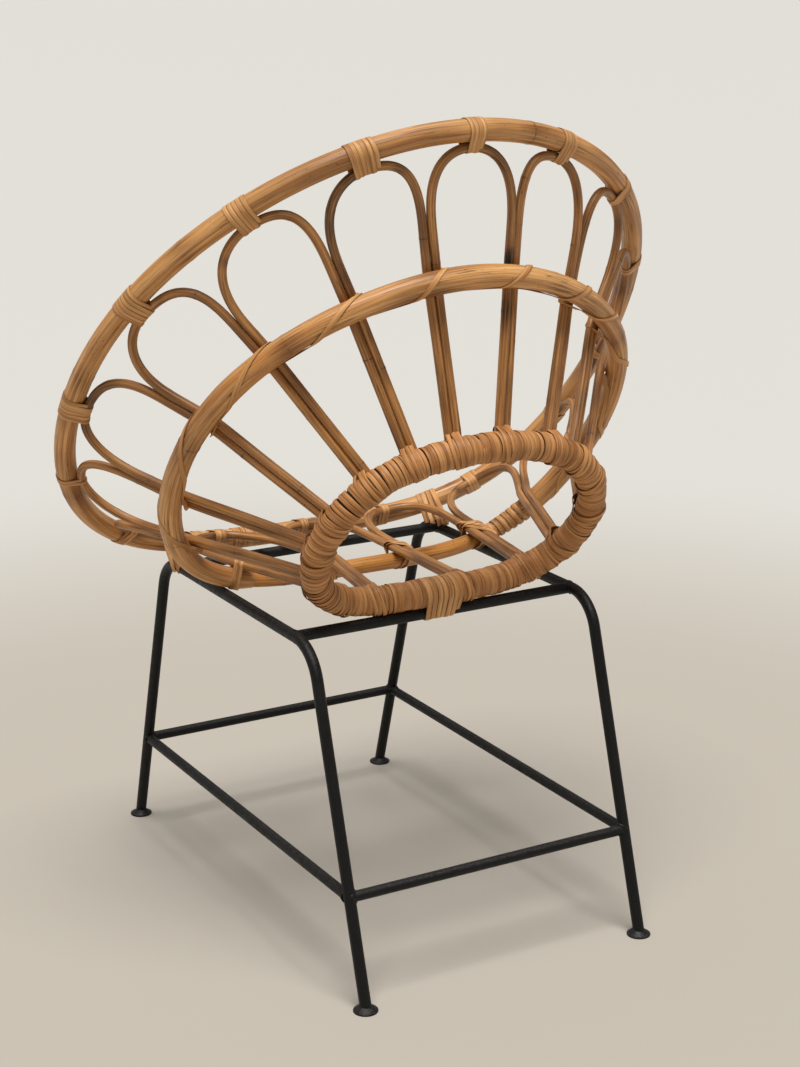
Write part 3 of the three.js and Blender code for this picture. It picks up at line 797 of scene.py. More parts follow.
@dataclass(frozen=True)
class RattanFinish(Finish):
    """Lacquered rattan: long fine fibres, dark hairline splits, flecks and a satin skin.

    Fibres on a real stem are about 0.3 mm wide; they are drawn at 0.5 mm and up, to show.
    A shade is the most that a darker colour covers; a span is the part of a noise's values over
    which it comes in.
    """

    light: str
    mid: str
    dark: str
    # Darkest brown: of the splits, flecks and scars, and of the painted shade along a flat cane's edges
    split: str = "3b2210"
    scorch: str = "1d130c"
    fibre_width: float = 0.7 * MM
    fibre_length: float = 45 * MM
    fibre_roughness: float = 0.62
    fibre_span: Span = (0.47, 0.66)
    fibre_shade: float = 0.5
    streak_width: float = 3.2 * MM
    streak_length: float = 150 * MM
    streak_span: Span = (0.33, 0.7)
    patch_size: float = 70 * MM
    patch_span: Span = (0.48, 0.66)
    patch_shade: float = 0.55
    # Splits are where a wide noise comes this near its middle value
    split_width: float = 2.4 * MM
    split_length: float = 160 * MM
    split_share: float = 0.016
    split_span: Span = (0.46, 0.52)
    split_shade: float = 0.85
    split_depth: float = 2.0
    fleck_size: float = 1.6 * MM
    fleck_limit: float = 0.69
    fleck_blend: float = 0.04
    fleck_span: Span = (0.5, 0.62)
    # Brown stain about a stem's nodes, and the scar round it at each
    stain_reach: float = 22 * MM
    stain_span: Span = (0.38, 0.6)
    stain_least: float = 0.1
    stain_shade: float = 0.65
    node_line: float = 0.7 * MM
    ripple: float = 4 * MM
    scar_span: Span = (0.3, 0.5)
    scar_shades: Span = (0.4, 0.95)
    # Painted shade along the edges of a flat cane, where strips meet; a round one has none
    edge_painted_shade: float = 0.0
    edge_start: float = 0.8
    burn_span: Span = (0.3, 0.6)
    burn_shades: Span = (0.25, 1.0)
    roughness: float = 0.42
    roughness_span: Span = (0.3, 0.7)
    roughness_less: float = 0.07
    roughness_more: float = 0.12
    specular: float = 0.35
    coat: float = 0.12
    coat_roughness: float = 0.3
    bump: float = 0.22 * MM
    bump_strength: float = 0.6

    def build(self, material: bpy.types.Material) -> bpy.types.Material:
        """Makes the material's nodes.

        Args:
            material: An empty material.

        Returns:
            The material.
        """
        tree = Tree(material)
        flat = self.edge_painted_shade > 0
        for mark, output in (("grain", "Vector"), ("node", "Fac"), ("edge", "Fac"), ("burn", "Fac")):
            tree.add(mark, "Attribute", {"attribute_name": mark}, out=output)
        # Noises stretched along the stem: features' length and width, octaves and roughness
        for name, length, width, detail, roughness in (
            ("fibre", self.fibre_length, self.fibre_width, FINE, self.fibre_roughness),
            ("streak", self.streak_length, self.streak_width, PLAIN, EVEN),
            ("patch", self.patch_size * 2, self.patch_size, PLAIN, EVEN),
            ("band", self.split_length, self.split_width, SOFT, EVEN),
            ("split region", self.patch_size, self.streak_width * 2, SOFT, EVEN),
            ("fleck", self.fleck_size * 2, self.fleck_size, PLAIN, EVEN),
            ("fleck region", self.patch_size, self.patch_size / 3, SOFT, EVEN),
            ("ripple", self.ripple, self.ripple, PLAIN, EVEN),
            ("raggedness", self.streak_length / 6, self.streak_width, FINE, EVEN),
        ):
            scale = (1.0 / length, 1.0 / width, 1.0 / width)
            tree.add(f"{name} place", "Mapping", {"Scale": scale}, {"Vector": "grain"})
            settings = {"Scale": 1.0, "Detail": detail, "Roughness": roughness}
            tree.add(name, "TexNoise", settings, {"Vector": f"{name} place"}, "Fac")
        # Splits are a thin band of a noise's values, and scars a wavy line round each node
        for name, operation, value, links in (
            ("off band", "SUBTRACT", EVEN, ("band",)),
            ("off split", "ABSOLUTE", 0.0, ("off band",)),
            ("split", "MULTIPLY", 0.0, ("split line", "split share")),
            ("split cover", "MULTIPLY", self.split_shade, ("split",)),
            ("fleck cover", "MULTIPLY", 0.0, ("fleck spot", "fleck share")),
            ("stain cover", "MULTIPLY", 0.0, ("near node", "stain share")),
            ("level ripple", "SUBTRACT", EVEN, ("ripple",)),
            ("wave", "MULTIPLY", self.ripple, ("level ripple",)),
            ("wavy node", "ADD", 0.0, ("node", "wave")),
            ("off scar", "ABSOLUTE", 0.0, ("wavy node",)),
            ("scar cover", "MULTIPLY", 0.0, ("scar line", "scar share")),
            ("burn cover", "MULTIPLY", 0.0, ("burn", "burn share")),
            ("relief", "ADD", 0.0, ("fibre", "streak")),
            ("groove", "MULTIPLY", self.split_depth, ("split",)),
            ("height", "SUBTRACT", 0.0, ("relief", "groove")),
        ):
            tree.add(name, "Math", {"operation": operation, 1: value}, dict(enumerate(links)))
        for name, source, span, to in (
            ("streak cover", "streak", self.streak_span, FULL),
            ("patch cover", "patch", self.patch_span, (0.0, self.patch_shade)),
            ("fibre cover", "fibre", self.fibre_span, (0.0, self.fibre_shade)),
            ("near node", "node", (self.stain_reach, 0.0), FULL),
            ("stain share", "streak", self.stain_span, (self.stain_least, self.stain_shade)),
            ("split line", "off split", (self.split_share, 0.0), FULL),
            ("split share", "split region", self.split_span, FULL),
            ("fleck spot", "fleck", (self.fleck_limit, self.fleck_limit + self.fleck_blend), FULL),
            ("fleck share", "fleck region", self.fleck_span, FULL),
            # Painted shade near a flat cane's edges, where strips meet
            ("edge cover", "edge", (self.edge_start, 1.0), (0.0, self.edge_painted_shade)),
            ("scar line", "off scar", (self.node_line, 0.0), FULL),
            ("scar share", "patch", self.scar_span, self.scar_shades),
            ("burn share", "raggedness", self.burn_span, self.burn_shades),
            ("roughness", "fibre", self.roughness_span,
             (self.roughness - self.roughness_less, self.roughness + self.roughness_more)),
        ):
            tree.add(name, "MapRange", dict(zip(RANGE_INPUTS, (*span, *to))), {"Value": source})
        settings = {**COLOURS, MIX_A: linear(self.light), MIX_B: linear(self.mid)}
        tree.add("streak colour", "Mix", settings, {0: "streak cover"}, MIX_RESULT)
        colour = "streak colour"
        # Darker tones over it, in this order
        for name, tone in (
            ("patch", self.dark),
            ("fibre", self.dark),
            *([] if flat else [("stain", self.dark)]),
            ("split", self.split),
            ("fleck", self.split),
            # A flat cane's edges get painted shade, a round stem's nodes a scar
            ("edge" if flat else "scar", self.split),
            ("burn", self.scorch),
        ):
            settings = {**COLOURS, MIX_B: linear(tone)}
            tree.add(f"{name} colour", "Mix", settings, {0: f"{name} cover", MIX_A: colour}, MIX_RESULT)
            colour = f"{name} colour"
        settings = {"Strength": self.bump_strength, "Distance": self.bump}
        tree.add("normal", "Bump", settings, {"Height": "height"})
        tree.add(
            "shader", "BsdfPrincipled",
            {
                "Coat Weight": self.coat, "Coat Roughness": self.coat_roughness,
                "Specular IOR Level": self.specular,
            },
            {"Base Color": colour, "Roughness": "roughness", "Normal": "normal"},
        )
        tree.add("output", "OutputMaterial", None, {"Surface": "shader"})
        tree.link()
        return material


@dataclass(frozen=True)
class PaintedIron(Finish):
    """Black paint brushed on iron rod: satin, a little lumpy, with dust and a painted sheen on what faces up.
    """

    paint: str = "060606"
    worn: str = "151413"
    # Grey of the dust and of the painted sheen on faces that look up
    dust: str = "57514a"
    lump: float = 7 * MM
    brush: float = 1.4 * MM
    noise_roughness: float = 0.6
    # Paint worn to grey in wide patches, and dust with a painted sheen of the sky on faces that look up
    wear_size: float = 42 * MM
    wear_span: Span = (0.5, 0.72)
    wear_shade: float = 0.6
    upward: Span = (0.2, 1.0)
    dust_span: Span = (0.45, 0.7)
    dust_shade: float = 0.55
    roughness_span: Span = (0.3, 0.7)
    roughness: Span = (0.42, 0.62)
    specular: float = 0.3
    brush_height: float = 0.25
    bump: float = 0.5 * MM
    bump_strength: float = 0.5

    def build(self, material: bpy.types.Material) -> bpy.types.Material:
        """Makes the material's nodes.

        Args:
            material: An empty material.

        Returns:
            The material.
        """
        tree = Tree(material)
        tree.add("place", "TexCoord", out="Object")
        tree.add("surface", "NewGeometry", out="Normal")
        tree.add("upwards", "SeparateXYZ", None, {0: "surface"}, "Z")
        for name, size, detail in (
            ("lumps", self.lump, FINE), ("brush", self.brush, COARSE), ("wear", self.wear_size, COARSE)
        ):
            settings = {"Scale": 1.0 / size, "Detail": detail, "Roughness": self.noise_roughness}
            tree.add(name, "TexNoise", settings, {"Vector": "place"}, "Fac")
        for name, source, span, to in (
            ("wear cover", "wear", self.wear_span, (0.0, self.wear_shade)),
            ("top", "upwards", self.upward, FULL),
            ("dust share", "brush", self.dust_span, (0.0, self.dust_shade)),
            ("roughness", "lumps", self.roughness_span, self.roughness),
        ):
            tree.add(name, "MapRange", dict(zip(RANGE_INPUTS, (*span, *to))), {"Value": source})
        # Painted sheen: faces that look up are greyed, in the dust's patches
        tree.add("dust cover", "Math", {"operation": "MULTIPLY"}, {0: "top", 1: "dust share"})
        settings = {"operation": "MULTIPLY_ADD", 1: self.brush_height}
        tree.add("height", "Math", settings, {0: "brush", 2: "lumps"})
        settings = {**COLOURS, MIX_A: linear(self.paint), MIX_B: linear(self.worn)}
        tree.add("paint", "Mix", settings, {0: "wear cover"}, MIX_RESULT)
        settings = {**COLOURS, MIX_B: linear(self.dust)}
        tree.add("colour", "Mix", settings, {0: "dust cover", MIX_A: "paint"}, MIX_RESULT)
        settings = {"Strength": self.bump_strength, "Distance": self.bump}
        tree.add("normal", "Bump", settings, {"Height": "height"})
        tree.add(
            "shader", "BsdfPrincipled", {"Specular IOR Level": self.specular},
            {"Base Color": "colour", "Roughness": "roughness", "Normal": "normal"},
        )
        tree.add("output", "OutputMaterial", None, {"Surface": "shader"})
        tree.link()
        return material


# Barked rattan pole: honey tan with brown stains, a dry lacquer that catches the light
POLE_FINISH = RattanFinish("rattan_pole", light="ebb372", mid="b87637", dark="693a15")
# The seat bow's pole is a browner, more orange stem
BOW_FINISH = RattanFinish("rattan_seat_bow", light="d6954c", mid="ab6c2c", dark="663a12")
# Thin rattan cane of the petals: browner and darker, with dark streaks
PETAL_FINISH = RattanFinish(
    "rattan_petal_cane", light="ca9053", mid="965e2b", dark="47270d",
    fibre_width=0.55 * MM, streak_width=2.0 * MM, split_width=1.8 * MM, split_share=0.02,
    patch_size=55 * MM, stain_shade=0.45, roughness=0.4,
)
# Flat split cane of the windings: matt straps, with painted shade along their edges where turns meet
BINDING_FINISH = RattanFinish(
    "rattan_flat_cane", light="e5ad70", mid="ba7f43", dark="744119",
    fibre_width=0.5 * MM, streak_width=3.0 * MM, streak_length=60 * MM, split_width=1.5 * MM,
    split_share=0.006, patch_size=60 * MM, patch_shade=0.5, fibre_shade=0.4, edge_painted_shade=0.45,
    roughness=0.5, coat=0.05,
)
# The arch's lashing: a strap nearly of the pole's own tone, so that only its edges show, darkened by painted
# shade
LASHING_FINISH = replace(
    BINDING_FINISH, name="rattan_lashing_cane", light="e7af70", mid="bf8040",
    streak_length=90 * MM, split_share=0.004, patch_size=80 * MM, patch_shade=0.4, edge_painted_shade=0.55,
    roughness=0.48, coat=0.06,
)
# The ring's covering: older, redder cane, turns from straw to brown side by side, with strong painted shade
# along each turn's edges
RING_FINISH = replace(
    BINDING_FINISH, name="rattan_ring_cane", light="dca062", mid="ab6c35", dark="5e3213",
    streak_length=70 * MM, patch_size=45 * MM, fibre_shade=0.5, edge_painted_shade=0.7, roughness=0.52, coat=0.03,
)
# Core of the ring: its cane painted near black, as painted shade that shows between the turns
CORE_PAINTED_SHADE_FINISH = RattanFinish(
    "ring_core_painted_shade", light="3f2a18", mid="2e1d10", dark="180f08", coat=0.0, roughness=0.7
)
IRON_FINISH = PaintedIron("black_painted_iron")


def hand_over(piece: bpy.types.Object, slot: Slot, finish: Finish, *nodes: str) -> None:
    """Gives a piece its finish and its body, and hides the nodes of the CAD model that it replaces.

    Args:
        piece: The piece.
        slot: Its material slot; not used.
        finish: Its finish.
        nodes: Nodes of the CAD model that it replaces.
    """
    piece.data.materials.clear()
    piece.data.materials.append(finish.material())
    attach(piece, BODY)
    if nodes:
        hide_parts(*nodes)
    LOG.info("%s: %d faces", piece.name, len(piece.data.polygons))


# Iron stand


@dataclass
class IronStand:
    """Two bent side rods with feet, joined by rails and stretchers welded to them."""

    rod_radius: float = 6 * MM
    stretcher_radius: float = 5.5 * MM
    rail_height: float = 345 * MM
    side_x: float = 164 * MM
    foot_reach: float = 280 * MM
    bend_reach: float = 176 * MM
    bend_radius: float = 45 * MM
    cross_rail_reach: float = 139 * MM
    stretcher_height: float = 108 * MM
    foot_radius: float = 12.5 * MM
    foot_collar: float = 8 * MM
    foot_thickness: float = 4.5 * MM
    foot_rim: float = 1.8 * MM
    # Flat edge of a foot, as a share of its radius, and how softly it is rounded
    foot_edge: float = 0.1
    foot_bevel: float = 0.6 * MM
    bevel_segments: int = 3
    foot_sides: int = 48
    weld_radius: float = 1.3 * MM
    # A bead's middle lies this share of its radius outside the rod
    weld_out: float = 0.3
    weld_lump: float = 0.3 * MM
    weld_segments: int = 40
    weld_sides: int = 10
    rod_sides: int = 32
    bend_steps: int = 24

    def leg_reach(self, height: float) -> float:
        """Distance of a leg's centre line from the middle of the chair, along Y."""
        return self.foot_reach - (self.foot_reach - self.bend_reach) * height / self.rail_height

    def side_points(self, side: Side) -> np.ndarray:
        """Centre line of a side rod, from the front foot to the rear foot.

        Args:
            side: Which of the two.

        Returns:
            The line's points.
        """
        lean = math.atan2(self.foot_reach - self.bend_reach, self.rail_height)
        turn = math.pi / 2 - lean
        straight = self.bend_radius * math.tan(turn / 2)
        a = turn * (1.0 - np.arange(self.bend_steps + 1) / self.bend_steps)
        reach = self.bend_reach - straight + self.bend_radius * np.sin(a)
        height = self.rail_height - self.bend_radius + self.bend_radius * np.cos(a)
        start = self.foot_rim
        front = np.stack([np.append(self.leg_reach(start), reach), np.append(start, height)], -1)
        x = side.value * self.side_x
        leg = np.array([[x, -r, z] for r, z in front])
        return np.concatenate([leg, (leg * [1, -1, 1])[::-1]])

    def side_rod(self, side: Side) -> bpy.types.Object:
        """One bent side rod."""
        points = self.side_points(side)
        _, outward = spokes(points, False, self.rod_sides)
        return roll_up(f"bent_rod_{side.word}", points[:, None] + outward * self.rod_radius, {})

    def rod(self, name: str, start: np.ndarray, end: np.ndarray, radius: float) -> bpy.types.Object:
        """A straight rod from a cylinder, its ends let into the rods that it is welded to.

        Args:
            name: Name of the piece.
            start: One end.
            end: The other.
            radius: Radius.

        Returns:
            The rod.
        """
        way = Vector(end - start)
        deselect()
        bpy.ops.mesh.primitive_cylinder_add(
            vertices=self.rod_sides, radius=radius, depth=way.length,
            location=Vector((start + end) / 2), rotation=way.to_track_quat("Z", "Y").to_euler(),
        )
        piece = bpy.context.object
        bpy.ops.object.mode_set(mode="EDIT")
        bpy.ops.mesh.select_all(action="SELECT")
        bpy.ops.mesh.subdivide(number_cuts=1)
        bpy.ops.object.mode_set(mode="OBJECT")
        return settle(piece, name)

    def weld(self, centre: np.ndarray, way: np.ndarray, radius: float, across: np.ndarray,
             rng: np.random.Generator) -> bpy.types.Object:
        """Bead of weld round a rod's end, where it meets a round rod.

        Args:
            centre: Where the rod's centre line meets the other rod's.
            way: Direction of the rod, away from the other.
            radius: Radius of the rod.
            across: Direction of the other rod.
            rng: Source of the bead's lumps.

        Returns:
            The bead.
        """
        deselect()
        segments = self.weld_segments
        bpy.ops.mesh.primitive_torus_add(
            major_segments=segments, minor_segments=self.weld_sides,
            major_radius=radius + self.weld_radius * self.weld_out, minor_radius=self.weld_radius,
        )
        piece = bpy.context.object
        side = np.cross(across, way)
        lumps = rng.uniform(-1.0, 1.0, segments)
        lumps = (lumps + np.roll(lumps, 1)) / 2
        for vertex in piece.data.vertices:
            x, y, z = vertex.co
            ring = math.hypot(x, y)
            k = round(math.atan2(y, x) / (2 * math.pi) * segments) % segments
            fat = 1.0 + self.weld_lump / self.weld_radius * lumps[k]
            reach = radius + (ring - radius) * fat
            u, v = x / ring * reach, y / ring * reach
            sink = math.sqrt(max(self.rod_radius**2 - v * v, 0.0))
            vertex.co = Vector(centre + across * u + side * v + way * (sink + z * fat))
        return piece

    def foot(self, x: float, y: float, name: str) -> bpy.types.Object:
        """Flared foot: a disc drawn up to a collar round the rod, with soft edges.

        Args:
            x: Place of its middle across.
            y: The same along.
            name: Name of the piece.

        Returns:
            The foot.
        """
        deselect()
        bpy.ops.mesh.primitive_cylinder_add(
            vertices=self.foot_sides, radius=self.foot_radius, depth=self.foot_rim,
            location=(x, y, self.foot_rim / 2),
        )
        piece = bpy.context.object
        collar_rise = self.foot_thickness - self.foot_rim
        lean = (self.foot_reach - self.bend_reach) / self.rail_height
        drift = -math.copysign(lean, y)
        bpy.ops.object.mode_set(mode="EDIT")
        bpy.ops.mesh.select_all(action="DESELECT")
        bpy.ops.mesh.select_mode(type="FACE")
        bpy.ops.object.mode_set(mode="OBJECT")
        for face in piece.data.polygons:
            face.select = face.normal.z > STEEP
        bpy.ops.object.mode_set(mode="EDIT")
        edge = self.foot_radius * self.foot_edge
        bpy.ops.mesh.inset(thickness=edge)
        bpy.ops.mesh.inset(thickness=self.foot_radius - edge - self.foot_collar)
        bpy.ops.transform.translate(value=(0, drift * collar_rise, collar_rise))
        slope = self.foot_collar - self.rod_radius
        bpy.ops.mesh.extrude_region_move(TRANSFORM_OT_translate={"value": (0, drift * slope, slope)})
        centre = (x, y + drift * (collar_rise + slope), self.foot_thickness + slope)
        # The collar's top ends a little inside the rod
        share = (self.rod_radius - self.weld_radius / 4) / self.foot_collar
        bpy.ops.transform.resize(value=(share, share, 1), center_override=centre)
        bpy.ops.object.mode_set(mode="OBJECT")
        bevel = piece.modifiers.new("soft edges", "BEVEL")
        bevel.width = self.foot_bevel
        bevel.segments = self.bevel_segments
        bevel.limit_method = "ANGLE"
        bpy.ops.object.modifier_apply(modifier=bevel.name)
        return settle(piece, name)

    def build(self) -> None:
        """Makes and dresses the whole stand."""
        rng = draws(Seed.WELDS)
        welds = []
        down = unit(np.array([0.0, self.foot_reach - self.bend_reach, -self.rail_height]))
        half = self.leg_reach(self.stretcher_height)

        def welded(name: str, node: str, ends: Sequence[np.ndarray], radius: float, way: np.ndarray,
                   across: np.ndarray) -> None:
            """A straight rod with a bead of weld at each end."""
            hand_over(self.rod(name, *ends, radius), Slot.IRON, IRON_FINISH, node)
            for inward, place in zip((way, -way), ends):
                welds.append(self.weld(place, inward, radius, across, rng))

        for side in Side:
            hand_over(self.side_rod(side), Slot.IRON, IRON_FINISH, f"side_rod_{side.word}")
            x = side.value * self.side_x
            for end, sign in (("front", -1), ("rear", 1)):
                name = f"foot_{end}_{side.word}"
                foot = self.foot(x, sign * self.leg_reach(self.foot_thickness), f"flared_{name}")
                hand_over(foot, Slot.IRON, IRON_FINISH, name)
            ends = [np.array([x, sign * half, self.stretcher_height]) for sign in (-1, 1)]
            welded(f"side_stretcher_{side.word}", f"stretcher_{side.word}", ends, self.stretcher_radius,
                   Y_WAY, X_WAY)
        for kind, reach, z, radius, leg in (
            ("cross_rail", self.cross_rail_reach, self.rail_height, self.rod_radius, Y_WAY),
            ("stretcher", half, self.stretcher_height, self.stretcher_radius, down),
        ):
            for end, sign in (("front", -1), ("rear", 1)):
                ends = [np.array([x, sign * reach, z]) for x in (-self.side_x, self.side_x)]
                across = leg if kind == "cross_rail" else leg * [1, sign, 1]
                welded(f"iron_{kind}_{end}", f"{kind}_{end}", ends, radius, X_WAY, across)
        hand_over(join("weld_beads", welds), Slot.IRON, IRON_FINISH)


# Lines of the shell


@dataclass(frozen=True)
class ClosedPole:
    """Centre line of a closed pole: X swings with sines, Y and Z with cosines of one turn."""

    side: tuple[float, ...]
    depth: tuple[float, ...]
    rise: tuple[float, ...]
    front_depth: float
    front_height: float

    def at(self, share: np.ndarray) -> np.ndarray:
        """Points at shares of the half turn.

        Args:
            share: The shares.

        Returns:
            The points.
        """
        turn = np.pi * np.asarray(share, float)[..., None]
        n = np.arange(1, len(self.side) + 1)
        swing = np.cos(n * turn) - np.cos(n * np.pi)
        x = (np.array(self.side) * np.sin(n * turn)).sum(-1)
        y = self.front_depth + (np.array(self.depth) * swing).sum(-1)
        z = self.front_height + (np.array(self.rise) * swing).sum(-1)
        return np.stack([x, y, z], -1)

    def way(self, share: np.ndarray) -> np.ndarray:
        """Directions at shares of the half turn."""
        share = np.asarray(share, float)
        return unit(self.at(share + WAY_STEP) - self.at(share - WAY_STEP))


def in_mm(*values: float) -> tuple[float, ...]:
    """Millimetres as metres."""
    return tuple(value * MM for value in values)


@dataclass(frozen=True)
class Pair:
    """Where two canes of neighbouring petals run side by side."""

    # Places midway between the two: at the ring, over the arch or the bow, and under the rim
    end: np.ndarray
    over: np.ndarray
    aim: np.ndarray
    # From one cane to the other, and to the seat side
    beside: np.ndarray
    inward: np.ndarray
    # The pole that they lie over: its middle, radius and way there
    support: np.ndarray
    support_radius: float
    pole_way: np.ndarray
    cane_way: np.ndarray
    ring_share: float


@dataclass
class ShellLines:
    """Centre lines of the shell's poles and canes.

    The tuples go from the back centre to the front: a tip for each petal, and between the tips
    the pairs of canes.
    """

    rim: ClosedPole = ClosedPole(
        in_mm(321, 0, 2, 4.5), in_mm(194, 20, -7, 4), in_mm(249, 10, -9, 7), -174 * MM, 356.12 * MM
    )
    hoop: ClosedPole = ClosedPole(
        in_mm(249, 1.5, -3, 2), in_mm(123, 17, -12, 6), in_mm(184, 9, -12, 6), -13 * MM, 354.93 * MM
    )
    ring: ClosedPole = ClosedPole(
        in_mm(151, -0.5, -6, 0.5), in_mm(51, 2, -7, 4), in_mm(93, 5.5, -9, 1.5), 139 * MM, 366.9 * MM
    )
    rim_radius: float = 11 * MM
    arch_radius: float = 11.5 * MM
    bow_radius: float = 8.75 * MM
    ring_radius: float = 15 * MM
    petal_radius: float = 4.6 * MM
    gap: float = 0.3 * MM
    # Two canes of a pair press into each other's skin by this much
    touch: float = -0.2 * MM
    loose_gap: float = 0.6 * MM
    # Height of the scarf's slanted cut at its two ends, as a share of the poles' radius there
    scarf_reach: float = 0.6
    scarf_gap: float = 0.4 * MM
    arch_left_end: float = 0.815
    arch_right_end: float = 0.765
    bow_right_end: float = 0.69
    ring_seat_share: float = 0.5
    tip_shares: tuple[float, ...] = (0, 0.107, 0.228, 0.374, 0.514, 0.618, 0.757, 0.889, 1)
    arch_pair_shares: dict[Side, tuple[float, ...]] = field(default_factory=lambda: {
        Side.LEFT: (0.05, 0.161, 0.29, 0.423, 0.563, 0.667, 0.787, 0.943),
        Side.RIGHT: (0.071, 0.194, 0.29, 0.417, 0.555, 0.67, 0.787, 0.943),
    })
    ring_pair_shares: dict[Side, tuple[float, ...]] = field(default_factory=lambda: {
        Side.LEFT: (0.07, 0.177, 0.291, 0.415, 0.5, 0.609, 0.729, 0.833),
        Side.RIGHT: (0.061, 0.21, 0.309, 0.397, 0.5, 0.621, 0.729, 0.929),
    })
    # Turns of cane that bind each tip
    tip_turns: dict[Side, tuple[int, ...]] = field(default_factory=lambda: {
        Side.LEFT: (3, 5, 4, 5, 5, 1, 2, 3, 2),
        Side.RIGHT: (3, 3, 2, 2, 2, 2, 3, 2, 2),
    })
    # How far each tip leans from the rim to the seat side, as a sine
    tip_leans: tuple[float, ...] = (0, 0, 0, 0, 0, 0.1, 0.3, 0.5, 0.5)
    # Share of the way from the arch to the rim at which a petal's two canes part
    partings: tuple[float, ...] = (0.36, 0.33, 0.3, 0.3, 0.34, 0.3, 0.2, 0.2)
    # Fullness of a petal's shoulder towards the back centre and towards the front
    back_shoulder: float = 0.66
    front_shoulder: float = 0.88
    middle_shoulder: float = 0.8

    def shaved(self, rings: np.ndarray, points: np.ndarray, above: bool) -> np.ndarray:
        """Cuts the arch's tip or the bow's end to a scarf, so that one lies on the other.

        Args:
            rings: The pole's points, by ring and by point.
            points: The rings' centres.
            above: True for the arch, which keeps what is above the cut.

        Returns:
            The points, those beyond the cut moved on to it.
        """
        shares = np.linspace(-self.arch_right_end, -self.bow_right_end, SCARF_SAMPLES)
        line = self.hoop.at(shares)
        near = np.linalg.norm(points[:, None] - line[None], axis=2)
        place = near.argmin(axis=1)
        lapped = near.min(axis=1) < (line[1] - line[0]).max()
        part = place / (SCARF_SAMPLES - 1)
        cut = self.scarf_reach * (1.0 - 2.0 * part) * self.scarf_radius(part)
        normal = square(UP, self.hoop.way(shares))[place]
        height = ((rings - points[:, None]) * normal[:, None]).sum(-1)
        half_gap = self.scarf_gap / 2
        if above:
            short = np.maximum(cut[:, None] + half_gap - height, 0.0)
        else:
            short = np.minimum(cut[:, None] - half_gap - height, 0.0)
        return rings + (short * lapped[:, None])[..., None] * normal[:, None]

    def scarf_radius(self, part: np.ndarray) -> np.ndarray:
        """Common radius of the arch and the bow along their scarf, from 0 at the arch's tip to 1."""
        return self.bow_radius + (self.arch_radius - self.bow_radius) * np.clip(part, 0.0, 1.0)

    def leaning(self, towards: np.ndarray, way: np.ndarray, inward: np.ndarray, lean: float) -> np.ndarray:
        """Direction across the rim towards the arch, leaning to the seat side."""
        down = square(towards, way)
        seat_side = square(square(inward, way), down)
        return down * math.sqrt(1.0 - lean**2) + seat_side * lean

    def pair(self, number: int, side: Side) -> Pair:
        """The pair of canes between two petals.

        Args:
            number: Its number on its side, from the back.
            side: The side.

        Returns:
            The pair.
        """
        share = self.arch_pair_shares[side][number]
        bow_from = self.arch_left_end if side is Side.LEFT else self.arch_right_end
        on_bow = share > bow_from
        support = self.hoop.at(side.value * share)
        support_radius = self.bow_radius if on_bow else self.arch_radius
        ring_share = side.value * self.ring_pair_shares[side][number]
        ring_point = self.ring.at(ring_share)
        rim_share = side.value * (self.tip_shares[number] + self.tip_shares[number + 1]) / 2
        rim_point = self.rim.at(rim_share)
        run = unit(rim_point - ring_point)
        pole_way = self.hoop.way(side.value * share)
        inward = unit(np.cross(pole_way, run))
        seat_centre = (self.rim.at(0.0) + self.rim.at(1.0)) / 2
        if inward @ (seat_centre - support) < 0:
            inward = -inward
        over = support + inward * (support_radius + self.petal_radius + self.loose_gap)
        beside = unit(np.cross(run, inward))
        seat_step = self.ring_radius * self.ring_seat_share
        reach = math.sqrt(self.ring_radius**2 - max(0.0, seat_step - self.petal_radius) ** 2)
        start = ring_point + inward * seat_step
        way = unit(over - start)
        out = square(way, self.ring.way(ring_share))
        end = start + way * (reach + 2 * self.loose_gap) / (way @ out)
        lean = (self.tip_leans[number] + self.tip_leans[number + 1]) / 2
        down = self.leaning(support - rim_point, self.rim.way(rim_share), inward, lean)
        aim = rim_point + down * (self.rim_radius + self.petal_radius + self.gap)
        cane_way = unit(unit(over - end) + unit(aim - over))
        return Pair(end, over, aim, beside, inward, support, support_radius, pole_way, cane_way, ring_share)


@dataclass(frozen=True)
class PetalPlan:
    """Names and neighbours of one petal."""

    name: str
    number: int
    tip_share: float
    one: Pair
    other: Pair
    tip_turns: int


# Poles of the shell


